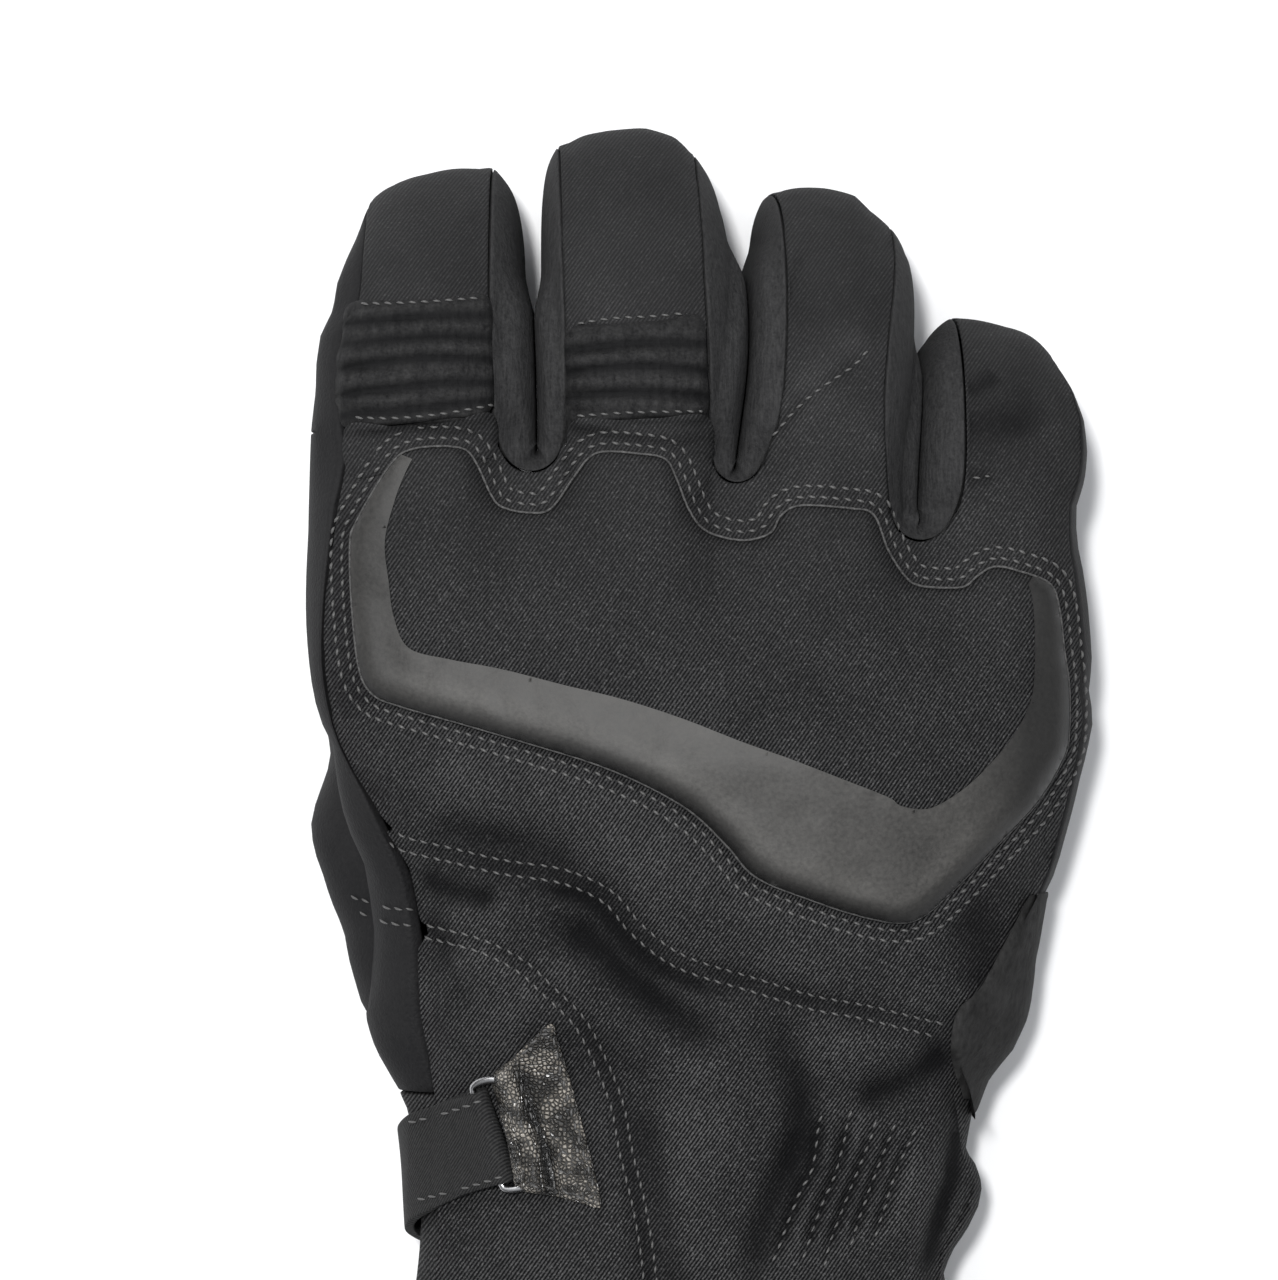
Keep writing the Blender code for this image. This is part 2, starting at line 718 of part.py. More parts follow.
def finger_patch(name, finish, finger, seams, runs, columns, wall, ribbed=False):
    """A strip of a finger between two seams, each an angle that depends on the distance run."""
    def place(across, ahead):
        run = mix(runs[0], runs[-1], ahead)
        return finger_point(finger, mix(seams[0](run), seams[1](run), across), run)

    outer = []
    inner = []
    for run in runs:
        ahead = (run - runs[0]) / (runs[-1] - runs[0])
        outer_row = []
        inner_row = []
        for across in columns:
            rise = rib_height(finger, run) * ease(min(across, 1 - across) * RIB_FADE) if ribbed else 0
            raised = finger_point(finger, mix(seams[0](run), seams[1](run), across), run, rise)
            deep = place(across, ahead) - normal_at(place, across, ahead) * wall
            outer_row.append(resting(raised, 0))
            inner_row.append(resting(deep, wall))
        outer.append(outer_row)
        inner.append(inner_row)
    if runs[0] == 0:
        for outer_point, inner_point in zip(outer[0], inner[0]):
            inner_point.y = outer_point.y
    trim(outer, inner)
    return body_from_grids(name, finish, outer, inner)


def rib_run(finger):
    """Where the ribbed stretch over a finger's joint ends, along its centre line."""
    start, bend, end, radius = finger_lengths(finger)
    rise = finger_value(finger, "rise", RIB_STAGE) * FINGER_THICKNESS
    return start + (RIB_ZONE - start) * radius / (radius + rise)


def rib_height(finger, run):
    """Height of the raised ribs at a distance along the centre line."""
    margin = RIB_MARGIN * rib_run(finger)
    share = (run - margin) / (rib_run(finger) - 2 * margin)
    if not 0 < share < 1:
        return 0.0
    return RIB_RISE * abs(math.sin(math.pi * RIB_COUNT * share)) ** RIB_ROUNDNESS


def make_finger_back(finger):
    """The cloth back of a finger, and on the index and middle fingers the ribbed stretch below it."""
    total = finger_total(finger)
    ribbed = finger in ("index", "middle")
    first = rib_run(finger) if ribbed else 0

    def right_seam(run):
        return finger_seam_turn(finger, run, 1, 1)

    def left_seam(run):
        return finger_seam_turn(finger, run, -1, 1)

    seams = (right_seam, left_seam)
    runs = [mix(first, total, share) for share in steps(6 if ribbed else 8)]
    finger_patch(f"finger_back_{finger}", CLOTH_FINISH, finger, seams, runs, steps(4), CLOTH)
    if ribbed:
        margin = RIB_MARGIN * first
        runs = [0] + [mix(margin, first - margin, share) for share in steps(RIB_COUNT * 4)] + [first]
        finger_patch(f"flex_ribs_{finger}", RIB_FINISH, finger, seams, runs, steps(4), CLOTH, ribbed=True)


def make_finger_palm(finger):
    """Leather under a finger. On the outer fingers it runs up the outer side to the back's seam."""
    def left_seam(run):
        if finger == "index":
            return finger_seam_turn(finger, run, -1, 1)
        return 360 + finger_seam_turn(finger, run, -1, -1)

    def right_seam(run):
        if finger == "little":
            return 360 + finger_seam_turn(finger, run, 1, 1)
        return 360 + finger_seam_turn(finger, run, 1, -1)

    runs = [finger_total(finger) * share for share in steps(7)]
    columns = steps(4)
    if finger in ("index", "little"):
        side, beyond = (-1, 4) if finger == "index" else (1, 3)
        under = 360 + finger_seam_turn(finger, 0, side, -1)
        share_under = (under - left_seam(0)) / (right_seam(0) - left_seam(0))
        columns = [share_under * share for share in steps(4)][:-1]
        columns += [mix(share_under, 1, share) for share in steps(beyond)]
    seams = (left_seam, right_seam)
    finger_patch(f"finger_palm_{finger}", LEATHER_FINISH, finger, seams, runs, columns, LEATHER)


def make_fingertip(finger):
    """Leather cap over the end of a finger."""
    total = finger_total(finger)
    outer = []
    inner = []
    for tip in (0, 0.5, 0.85, 1.0):
        outer_row = []
        inner_row = []
        for index in range(12):
            turn = 360 * index / 12
            point = finger_point(finger, turn, total + tip * FINGERTIP_LENGTH)
            deep = finger_point(finger, turn, total + tip * (FINGERTIP_LENGTH - LEATHER), -LEATHER)
            if tip == 1.0:
                deep = finger_point(finger, turn, total + FINGERTIP_LENGTH, 0)
                deep.z = LEATHER
            outer_row.append(resting(point, 0))
            inner_row.append(resting(deep, LEATHER))
        outer.append(outer_row)
        inner.append(inner_row)
    for outer_point, inner_point in zip(outer[0], inner[0]):
        outer_point.z -= SEAM / 2
        inner_point.z -= SEAM / 2
    return body_from_grids(f"fingertip_{finger}", LEATHER_FINISH, outer, inner, closed=True)


def make_fourchette(gap):
    """Knit strip along the facing sides of two fingers and round the web between them."""
    left = FINGER_NAMES[gap]
    right = FINGER_NAMES[gap + 1]
    stations = [("left", finger_total(left) * (1 - share)) for share in steps(8)]
    stations += [("web", angle) for angle in (45, 90, 135)]
    stations += [("right", finger_total(right) * share) for share in steps(8)]

    def column(kind, value, share):
        if kind == "left":
            turn = mix(finger_seam_turn(left, value, 1, 1), finger_seam_turn(left, value, 1, -1), share)
            return finger_point(left, turn, value)
        if kind == "right":
            start = finger_seam_turn(right, value, -1, 1)
            turn = mix(start, 360 + finger_seam_turn(right, value, -1, -1), share)
            return finger_point(right, turn, value)
        turned = (1 - math.cos(math.radians(value))) / 2
        from_left = column("left", 0, share)
        from_right = column("right", 0, share)
        radius = mix(gap_middle(gap) - from_left.x, from_right.x - gap_middle(gap), turned)
        x = gap_middle(gap) - radius * math.cos(math.radians(value))
        y = gap_y(gap) - radius * math.sin(math.radians(value))
        return Vector((x, y, mix(from_left.z, from_right.z, turned)))

    def tucked(point, share):
        if share == 0:
            return point - Vector((0, 0, CLOTH + CLEARANCE))
        if share == 1:
            return point + Vector((0, 0, LEATHER + CLEARANCE))
        return point

    outer = []
    inner = []
    for kind, value in stations:
        outer_row = []
        inner_row = []
        for share in steps(4):
            point = column(kind, value, share)
            lower = column(kind, value, min(share + 0.02, 1)) - column(kind, value, max(share - 0.02, 0))
            if kind == "web":
                round_web = column(kind, value + 3, share) - column(kind, value - 3, share)
                deep = point - round_web.cross(lower).normalized() * KNIT
                if share == 0:
                    deep = point - Vector((0, 0, KNIT))
                if share == 1:
                    deep = point + Vector((0, 0, KNIT))
            else:
                nudge = -SEAM if kind == "left" else SEAM
                beyond = column(kind, value + nudge, share)
                ahead = beyond - column(kind, max(value - nudge, 0), share)
                deep = point - ahead.cross(lower).normalized() * KNIT
            if kind == "web" or value == 0:
                point, deep = tucked(point, share), tucked(deep, share)
            outer_row.append(resting(point, 0))
            inner_row.append(resting(deep, KNIT))
        outer.append(outer_row)
        inner.append(inner_row)
    trim(outer, inner)
    return body_from_grids(f"fourchette_{left}_{right}", KNIT_FINISH, outer, inner)


# The thumb

def thumb_ring(share, inset, shrink=1.0, count=12):
    """Ring of points round the thumb's centre line."""
    places = [index / (len(THUMB) - 1) for index in range(len(THUMB))]

    def centre(at):
        right = smooth_curve(places, [row.right for row in THUMB], at)
        ahead = smooth_curve(places, [row.ahead for row in THUMB], at)
        up = smooth_curve(places, [row.up for row in THUMB], at)
        x = THUMB_RIGHT + right * THUMB_LENGTH
        return Vector((x, THUMB_AHEAD + ahead * THUMB_LENGTH, up * THUMB_WIDTH))

    way = (centre(min(share + 0.02, 1)) - centre(max(share - 0.02, 0))).normalized()
    side = way.cross(Vector((0, 0, 1))).normalized()
    up = side.cross(way)
    radius = smooth_curve(places, [row.wide for row in THUMB], share) * THUMB_WIDTH / 2 * shrink - inset
    ring = []
    for index in range(count):
        across, lift = oval(360 * index / count, FINGER_POWER)
        ring.append(centre(share) + side * (across * radius) + up * (lift * radius))
    return ring, centre(share), way


def make_thumb():
    """Leather tube of the thumb, closed at its tip and tucked under the index finger."""
    outer = []
    inner = []
    for share in steps(8):
        ring, middle, way = thumb_ring(share, 0)
        deep, middle, way = thumb_ring(share, LEATHER)
        outer.append([resting(point, 0) for point in ring])
        inner.append([resting(point, LEATHER) for point in deep])
    for tip in (0.5, 0.85, 1.0):
        shrink = max(1 - tip ** TIP_POWER, 0.0) ** (1 / TIP_POWER)
        ring, middle, way = thumb_ring(1, 0, shrink)
        length = THUMB_WIDTH * THUMB_TIP
        outer.append([resting(point + way * (length * tip), 0) for point in ring])
        deep = [middle + (point - middle) * THUMB_INNER + way * ((length - LEATHER) * tip) for point in ring]
        inner.append([resting(point, LEATHER) for point in deep])
    thumb = body_from_grids("thumb", LEATHER_FINISH, outer, inner, closed=True)
    cavity = solid_from_rings("hand_cavity", cavity_rings())
    cut(thumb, cavity)
    rings = []
    for share in steps(8):
        ring, middle, way = thumb_ring(share, -CLEARANCE)
        if share == 0:
            ring = [point - way * CLEARANCE * 2 for point in ring]
        rings.append(ring)
    cutter = solid_from_rings("thumb_hole", rings)
    return cutter


def cavity_rings():
    """Rings of the hollow inside the body's leather and cloth."""
    rings = []
    for along in [0.40, 0.47, 0.54, 0.6, 0.66, 0.72, 0.78, 0.84, 0.9]:
        ring = []
        for index in range(30):
            turn = 360 * index / 30
            point = body_point(turn, along) - body_normal(turn, along) * (LEATHER - CLEARANCE)
            ring.append(resting(point, LEATHER))
        rings.append(ring)
    return rings


def solid_from_rings(name, rings):
    """A closed solid through rings of points, kept as a cutter."""
    shape = bmesh.new()
    verts = [[shape.verts.new(point) for point in ring] for ring in rings]
    count = len(rings[0])
    for row in range(len(rings) - 1):
        for index in range(count):
            beside = (index + 1) % count
            shape.faces.new([verts[row][index], verts[row][beside], verts[row + 1][beside], verts[row + 1][index]])
    shape.faces.new(verts[0])
    shape.faces.new(verts[-1])
    bmesh.ops.triangulate(shape, faces=shape.faces[:])
    bmesh.ops.recalc_face_normals(shape, faces=shape.faces[:])
    made = add_object(name, LEATHER_FINISH, shape, cutters)
    made.hide_render = True
    made.display_type = "WIRE"
    return made


def cut(piece, cutter):
    modifier = piece.modifiers.new("cut", "BOOLEAN")
    modifier.operation = "DIFFERENCE"
    modifier.solver = "EXACT"
    modifier.object = cutter


# Pieces laid on the back of the hand

def pad_corner(share):
    """A point of the pad's outline, a share of the way round it."""
    count = len(PAD_OUTLINE)
    position = (share % 1) * count
    here = int(position)
    part = position - here
    before, start, end, after = (PAD_OUTLINE[(here + step) % count] for step in (-1, 0, 1, 2))
    values = []
    for column in ("right", "up"):
        p0, p1, p2, p3 = (getattr(corner, column) for corner in (before, start, end, after))
        values.append(
            0.5 * (2 * p1 + (p2 - p0) * part + (2 * p0 - 5 * p1 + 4 * p2 - p3) * part ** 2
                   + (3 * p1 - p0 - 3 * p2 + p3) * part ** 3)
        )
    return values[0] * PAD_WIDTH, values[1] * PAD_LENGTH


def pad_surface(share, out, lift):
    """A point over the pad's plan, a share out from its middle to its outline, lifted off the back."""
    right, up = pad_corner(share)
    return back_lifted(PAD_RIGHT + right * out, PAD_AHEAD + up * out, lift)


def pad_lift(out):
    """Height of the pad's top over the back of the hand, rounded down at its edge."""
    edge = max(0.0, (out - PAD_SHOULDER) / (1 - PAD_SHOULDER))
    return LAID + PAD_EDGE + (PAD_RISE - PAD_EDGE) * math.sqrt(max(1 - edge ** 2, 0))


def make_knuckle_pad():
    """Foam-filled pad over the knuckles."""
    count = 2 * len(PAD_OUTLINE)
    shares = [index / count for index in range(count)]
    outs = [0, 0.35, 0.65, PAD_SHOULDER, 0.95, 1.0]
    outer = [[pad_surface(share, out, pad_lift(out)) for share in shares] for out in outs]
    inner = [[pad_surface(share, out, LAID * (2 - out ** 4)) for share in shares] for out in outs]
    return body_from_grids("knuckle_pad", CLOTH_FINISH, outer, inner, closed=True)


def make_knuckle_band():
    """Smooth film band welded on the lower and outer part of the pad."""
    outer = []
    inner = []
    places = [row.corner for row in BAND]
    for step in range(2 * (places[-1] - places[0]) + 1):
        corner = places[0] + step / 2
        start = smooth_curve(places, [row.inner for row in BAND], corner)
        middle = PAD_SHOULDER if start < 0.8 else (start + 0.95) / 2
        outs = [start, middle, 0.95, 0.985]
        raised = [pad_lift(out) + CLEARANCE for out in outs]
        share = corner / len(PAD_OUTLINE)
        outer.append([pad_surface(share, out, lift + BAND_THICKNESS) for out, lift in zip(outs, raised)])
        inner.append([pad_surface(share, out, lift) for out, lift in zip(outs, raised)])
    return body_from_grids("knuckle_band", FILM_FINISH, outer, inner)


def make_knuckle_piping():
    """Thin cord along the edge of the pad."""
    count = 2 * len(PAD_OUTLINE)
    radius = PIPING_DIAMETER / 2
    points = []
    for index in range(count):
        share = index / count
        before = Vector(pad_corner(share - 0.004))
        after = Vector(pad_corner(share + 0.004))
        way = (after - before).normalized()
        right, up = Vector(pad_corner(share)) + Vector((-way.y, way.x)) * (radius + 6 * CLEARANCE)
        points.append(back_lifted(PAD_RIGHT + right, PAD_AHEAD + up, radius + LAID))
    return tube("knuckle_piping", PIPING_FINISH, points, radius, 0)


def back_lifted(x, y, lift):
    """A point over the back of the hand, lifted off it."""
    along = body_along(y)
    turn = body_turn(x, along)
    return body_point(turn, along) + body_normal(turn, along) * lift


def tube(name, finish, points, radius, resolution):
    """A closed ring of wire or cord through points."""
    curve = bpy.data.curves.new(name, "CURVE")
    curve.dimensions = "3D"
    spline = curve.splines.new("POLY")
    spline.points.add(len(points) - 1)
    for slot, point in zip(spline.points, points):
        slot.co = (*point, 1)
    spline.use_cyclic_u = True
    curve.bevel_depth = radius
    curve.bevel_resolution = resolution
    curve.use_fill_caps = True
    curve.materials.append(finish)
    made = bpy.data.objects.new(name, curve)
    glove.objects.link(made)
    return made


def overlay(name, finish, map_wall, columns, rows, thickness, lifted=LAID):
    """A layer on the body: thickness depends on the shares across and ahead, like the map."""
    outer = []
    inner = []
    for ahead in rows:
        outer_row = []
        inner_row = []
        for across in columns:
            turn, along = map_wall(across, ahead)
            point = body_point(turn, along)
            normal = body_normal(turn, along)
            inner_row.append(resting(point + normal * lifted, 0))
            outer_row.append(resting(point + normal * (lifted + thickness(across, ahead)), 0))
        outer.append(outer_row)
        inner.append(inner_row)
    return body_from_grids(name, finish, outer, inner)


def make_heel_patch():
    """Suede patch on the outer heel of the hand."""
    def map_wall(across, ahead):
        left = mix(PATCH_TURNS[0] + 8, PATCH_TURNS[0] - 4, ahead)
        width = 0.35 + 0.65 * math.sin(math.pi * (0.12 + 0.76 * ahead))
        turn = mix(left, mix(left, PATCH_TURNS[1], width), across)
        return turn, PATCH_ALONG + (ahead - 0.5) * PATCH_LENGTH / BODY_LENGTH

    def thickness(across, ahead):
        return PATCH_THICKNESS

    return overlay("heel_patch", SUEDE_FINISH, map_wall, steps(5), steps(6), thickness)


def make_wrist_gathers():
    """Elastic panel over the wrist, drawn into slanting tucks."""
    turn_width = 360 * GATHER_WIDTH / (math.pi * HAND_WIDTH)

    def map_wall(across, ahead):
        turn = GATHER_TURN + (across - 0.5) * turn_width + (0.5 - ahead) * 6
        return turn, GATHER_ALONG + (ahead - 0.5) * GATHER_LENGTH / BODY_LENGTH

    def thickness(across, ahead):
        tuck = abs(math.sin(math.pi * (GATHER_COUNT * across + 0.6 * (1 - ahead))))
        fade = ease(min(across, 1 - across) * 8) * ease(min(ahead, 1 - ahead) * 5)
        return PANEL_THICKNESS + GATHER_RISE * tuck ** 0.8 * fade

    return overlay("wrist_gathers", CLOTH_FINISH, map_wall, steps(GATHER_COUNT * 4), steps(5), thickness)


# Strap, ring and tab

def leaning_point(turn, ahead, lift):
    """A point lifted off the body, ahead of the strap's middle by a share of the body's length.

    The strap slants back as it goes round, and its width leans over with it.
    """
    turn += STRAP_LEAN * ahead
    along = STRAP_ALONG + ahead + STRAP_SLANT * (turn - RING_TURN)
    return resting(body_point(turn, along) + body_normal(turn, along) * lift, 0)


def ring_middle():
    """Angle of the ring's middle, degrees to a metre round the body there, and degrees to its bars."""
    metre = degrees_to_metre(RING_TURN)
    return RING_TURN, metre, (RING_WIDTH - RING_WIRE) / 2 * metre


def degrees_to_metre(turn):
    """Degrees round the body to each metre of its surface, at the strap."""
    return 1 / (body_point(turn + 0.5, STRAP_ALONG) - body_point(turn - 0.5, STRAP_ALONG)).length


def folded_strip(bar, away, thickness, back):
    """Angles and lifts on both faces of a strip that is folded round a bar of the ring.

    The strip runs from its short end, back, under the bar, round it on the side that away points to, and
    back over itself.
    """
    metre = degrees_to_metre(bar)
    loop = RING_WIRE / 2 + RING_SLACK
    centre = bar_lift()
    low = centre - loop - thickness
    inside = [(mix(back, bar, share), low + thickness) for share in (0, 0.25, 0.5, 0.75)]
    outside = [(mix(back, bar, share), low) for share in (0, 0.25, 0.5, 0.75)]
    for step in range(7):
        angle = math.radians(-90 + 180 * step / 6)
        shift = math.cos(angle) * away * metre
        inside.append((bar + shift * loop, centre + math.sin(angle) * loop))
        outside.append((bar + shift * (loop + thickness), centre + math.sin(angle) * (loop + thickness)))
    settle = mix(bar, back, 0.45)
    inside.append((settle, low + thickness + CLEARANCE))
    outside.append((settle, low + 2 * thickness + CLEARANCE))
    for share in (0.5, 0.95):
        inside.append((mix(settle, back, share), low + thickness + CLEARANCE))
        outside.append((mix(settle, back, share), low + 2 * thickness + CLEARANCE))
    return inside, outside


def bar_lift():
    """Height of the middle of the ring's wire over the body."""
    return LAID + max(STRAP_THICKNESS, TAB_THICKNESS) + RING_SLACK + RING_WIRE / 2


def make_strip(name, finish, inside, outside, width):
    """A strip from the angles and lifts on its two faces."""
    outer = []
    inner = []
    for share in steps(3):
        ahead = (share - 0.5) * width / BODY_LENGTH
        outer.append([leaning_point(turn, ahead, lift) for turn, lift in outside])
        inner.append([leaning_point(turn, ahead, lift) for turn, lift in inside])
    return body_from_grids(name, finish, outer, inner)


def make_wrist_strap():
    """Webbing from under the wrist, up the thumb side and round the ring's near bar."""
    middle, metre, half = ring_middle()
    bar = middle + half
    back = bar + STRAP_FOLD * metre
    inside, outside = folded_strip(bar, -1, STRAP_THICKNESS, back)
    low = outside[0][1]
    inside.append((back + 1.5, low))
    outside.append((back + 1.5, low + STRAP_THICKNESS))
    for share in steps(20)[1:]:
        turn = mix(back + 1.5, STRAP_END, share)
        inside.append((turn, mix(low, LAID, ease(share * 6))))
        outside.append((turn, mix(low, LAID, ease(share * 6)) + STRAP_THICKNESS))
    return make_strip("wrist_strap", STRAP_FINISH, inside, outside, STRAP_WIDTH)


def make_ring_tab():
    """Leather tab folded round the ring's far bar."""
    middle, metre, half = ring_middle()
    bar = middle - half
    inside, outside = folded_strip(bar, 1, TAB_THICKNESS, bar - TAB_LENGTH * metre)
    return make_strip("ring_tab", TAB_FINISH, inside, outside, TAB_WIDTH)


def make_strap_ring():
    """Metal ring with straight bars through the strap and the tab and round ends beyond them."""
    middle, metre, half = ring_middle()
    straight = (STRAP_WIDTH / 2 + RING_SLACK) / BODY_LENGTH
    end = (RING_LENGTH - RING_WIRE) / 2 / BODY_LENGTH
    points = []
    for side in (1, -1):
        stops = []
        for step in range(7):
            angle = math.radians(180 * step / 6)
            stops.append((math.cos(angle) * side, side * (straight + (end - straight) * math.sin(angle))))
        for share in (0.333, 0.667):
            stops.append((-side, side * straight * (1 - 2 * share)))
        for across, ahead in stops:
            points.append(leaning_point(middle + across * half, ahead, bar_lift()))
    return tube("strap_ring", METAL_FINISH, points, RING_WIRE / 2, 1)


def centre_on_origin():
    """Move the whole glove so that the middle of its base is at the origin."""
    graph = bpy.context.evaluated_depsgraph_get()
    lows = Vector((1, 1, 1))
    highs = Vector((-1, -1, -1))
    for piece in glove.objects:
        evaluated = piece.evaluated_get(graph)
        for vertex in evaluated.to_mesh().vertices:
            lows = Vector(map(min, lows, vertex.co))
            highs = Vector(map(max, highs, vertex.co))
        evaluated.to_mesh_clear()
    shift = Vector(((lows.x + highs.x) / 2, (lows.y + highs.y) / 2, 0))
    for piece in list(glove.objects) + list(cutters.objects):
        piece.location -= shift


for old in list(bpy.data.objects):
    bpy.data.objects.remove(old, do_unlink=True)

glove = bpy.data.collections.new("winter_motorcycle_glove")
cutters = bpy.data.collections.new("cutters")
bpy.context.scene.collection.children.link(glove)
bpy.context.scene.collection.children.link(cutters)

CLOTH_FINISH = material("softshell", (0.035, 0.034, 0.036), 0.75)
RIB_FINISH = material("stretch_rib", (0.030, 0.030, 0.032), 0.80)
KNIT_FINISH = material("knit", (0.026, 0.026, 0.028), 0.90)
LEATHER_FINISH = material("goat_leather", (0.032, 0.031, 0.031), 0.50)
SUEDE_FINISH = material("suede", (0.040, 0.038, 0.038), 0.85)
FILM_FINISH = material("film", (0.110, 0.108, 0.110), 0.35)
PIPING_FINISH = material("piping", (0.160, 0.155, 0.150), 0.55)
STRAP_FINISH = material("webbing", (0.028, 0.028, 0.030), 0.70)
TAB_FINISH = material("tab_leather", (0.040, 0.037, 0.035), 0.45)
METAL_FINISH = material("ring_metal", (0.090, 0.090, 0.095), 0.30, 1.0)

make_hand_back()
palm = make_palm()
make_cuff_back()
make_wrist_panel()
make_cuff_palm()
for finger_name in FINGER_NAMES:
    make_finger_back(finger_name)
    make_finger_palm(finger_name)
    make_fingertip(finger_name)
for gap_index in range(3):
    make_fourchette(gap_index)
thumb_hole = make_thumb()
cut(palm, thumb_hole)
make_knuckle_pad()
make_knuckle_band()
make_knuckle_piping()
make_heel_patch()
make_wrist_gathers()
make_wrist_strap()
make_ring_tab()
make_strap_ring()
centre_on_origin()
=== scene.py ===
"""Winter motorcycle glove for the right hand, lying palm down on a pale table and seen from above."""
import math

import bmesh
import bpy
import numpy as np
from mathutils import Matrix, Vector, noise
from mathutils.bvhtree import BVHTree


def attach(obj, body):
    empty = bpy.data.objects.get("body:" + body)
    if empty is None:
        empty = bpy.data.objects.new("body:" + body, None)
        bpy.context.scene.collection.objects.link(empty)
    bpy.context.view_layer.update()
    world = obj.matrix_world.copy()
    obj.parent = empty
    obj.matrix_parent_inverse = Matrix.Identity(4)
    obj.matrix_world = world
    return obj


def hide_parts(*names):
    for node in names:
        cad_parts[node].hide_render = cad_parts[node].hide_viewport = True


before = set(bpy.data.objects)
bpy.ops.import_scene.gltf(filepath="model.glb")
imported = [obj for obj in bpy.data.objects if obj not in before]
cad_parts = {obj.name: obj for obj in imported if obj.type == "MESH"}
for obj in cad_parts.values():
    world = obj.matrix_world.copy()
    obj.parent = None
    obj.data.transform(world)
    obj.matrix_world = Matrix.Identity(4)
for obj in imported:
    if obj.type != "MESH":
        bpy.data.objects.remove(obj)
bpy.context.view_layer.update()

# Softshell of the back and the cuff
# The outer cloth is a fine diagonal twill bonded to fleece. Each panel is cut to shape and sewn to its
# neighbours with the edges turned in, so that its rim is round and a soft groove is left between two panels.
# FOLD_SHADE is how much shade is painted into a colour at the bottom of a fold.
FOLD_SHADE = 0.93


class Reading:
    """A socket of a material: sums on readings add Math nodes."""

    def __init__(self, tree, socket):
        self.tree = tree
        self.socket = socket

    def node(self, kind, inputs, output=0, **settings):
        made = self.tree.nodes.new("ShaderNode" + kind)
        for name, value in settings.items():
            setattr(made, name, value)
        for name, value in inputs.items():
            if isinstance(value, Reading):
                self.tree.links.new(value.socket, made.inputs[name])
            else:
                made.inputs[name].default_value = value
        return Reading(self.tree, made.outputs[output])

    def math(self, operation, *others):
        return self.node("Math", {0: self, **dict(enumerate(others, 1))}, operation=operation)

    def __add__(self, other):
        return self.math("ADD", other)

    __radd__ = __add__

    def __mul__(self, other):
        return self.math("MULTIPLY", other)

    __rmul__ = __mul__

    def __sub__(self, other):
        return self.math("SUBTRACT", other)

    def __rsub__(self, other):
        return self.node("Math", {0: other, 1: self}, operation="SUBTRACT")

    def clamp(self, low, high):
        """From 0 where the reading is low to 1 where it is high."""
        return self.node("MapRange", {"Value": self, "From Min": low, "From Max": high}, clamp=True)

    def wave(self, way, pitch):
        """Lines across a direction, from 0 to 1, pitch metres apart."""
        turns = [2 * math.pi / pitch * part for part in way]
        along = self.node("VectorMath", {0: self, 1: turns}, 1, operation="DOT_PRODUCT")
        return along.math("SINE") * 0.5 + 0.5

    def noise(self, size, detail=2.0, roughness=0.5):
        inputs = {"Vector": self, "Scale": 1 / size, "Detail": detail, "Roughness": roughness}
        return self.node("TexNoise", inputs)

    def stretched(self, x, y, z):
        return self.node("VectorMath", {0: self, 1: (x, y, z)}, operation="MULTIPLY")

    def painted_shade_factor(self):
        """Painted shade: 1 on open cloth, less down in a fold, a little more on a ridge as a painted
        highlight.
        """
        painted_shade = self.node("Attribute", {}, 2, attribute_name="painted_shade")
        return 1 - painted_shade * FOLD_SHADE

    def between(self, dark, light):
        """A colour between two, at this share."""
        return self.node("Mix", {0: self, 6: (*dark, 1), 7: (*light, 1)}, 2, data_type="RGBA")


def finish(name, draw, **settings):
    """A finish whose draw function gives the colour, the roughness and the height in metres."""
    made = bpy.data.materials.new(name)
    made.use_nodes = True
    tree = made.node_tree
    shader = tree.nodes["Principled BSDF"]
    for key, value in settings.items():
        shader.inputs[key.replace("_", " ")].default_value = value
    place = Reading(tree, tree.nodes.new("ShaderNodeTexCoord").outputs["Object"])
    colour, roughness, height = draw(place)
    bumped = place.node("Bump", {"Height": height, "Distance": 1.0, "Strength": 1.0})
    for reading, socket in ((colour, "Base Color"), (roughness, "Roughness"), (bumped, "Normal")):
        if isinstance(reading, Reading):
            tree.links.new(reading.socket, shader.inputs[socket])
        else:
            shader.inputs[socket].default_value = reading
    return made


def draw_twill(place):
    wander = place.noise(0.011, 3.0)
    lines = place.wave((0.81, -0.58, 0.0), 0.00052)
    threads = place.noise(0.00042, 2.0, 0.75)
    fleck_glints = threads.clamp(0.57, 0.72)
    along = place.node("SeparateXYZ", {"Vector": place}, 1)
    crisp = along.clamp(0.095, -0.005) * 0.90 + 0.30
    tone = (lines * 0.55 + threads * 0.95).clamp(0.50, 1.15)
    # The flecks on the crests of the twill lines are painted glints of the threads; they are also a little
    # less rough.
    shade = tone * (0.38 + wander * 0.62) + fleck_glints * (lines * 0.75 + 0.05) - 0.30
    fold_shaded = (shade * crisp + 0.24).clamp(0.0, 1.0) * place.painted_shade_factor()
    colour = fold_shaded.between((0.0010, 0.0010, 0.0014), (0.086, 0.0853, 0.0858))
    return colour, 0.86 - fleck_glints * 0.16, lines * 0.00007 + threads * crisp * 0.00014


softshell = finish("softshell_twill", draw_twill, Specular_IOR_Level=0.15)

# Places that are measured in the photograph are given in its pixels, counted from its upper left corner. A
# pixel is PIXEL metres wide at SCALE_HEIGHT above the table.
PIXEL = 0.000157
PICTURE_HEIGHT = 1280
PICTURE_MIDDLE = (639, 640)
GLOVE_MIDDLE = (702, 943)
GLOVE_SHIFT = 0.0004
CAMERA_HEIGHT = 1.15
SCALE_HEIGHT = 0.045


def photo(across, down):
    """Plan position in metres of a place that is measured in the photograph."""
    return Vector(((across - GLOVE_MIDDLE[0]) * PIXEL, (GLOVE_MIDDLE[1] - down) * PIXEL + GLOVE_SHIFT))


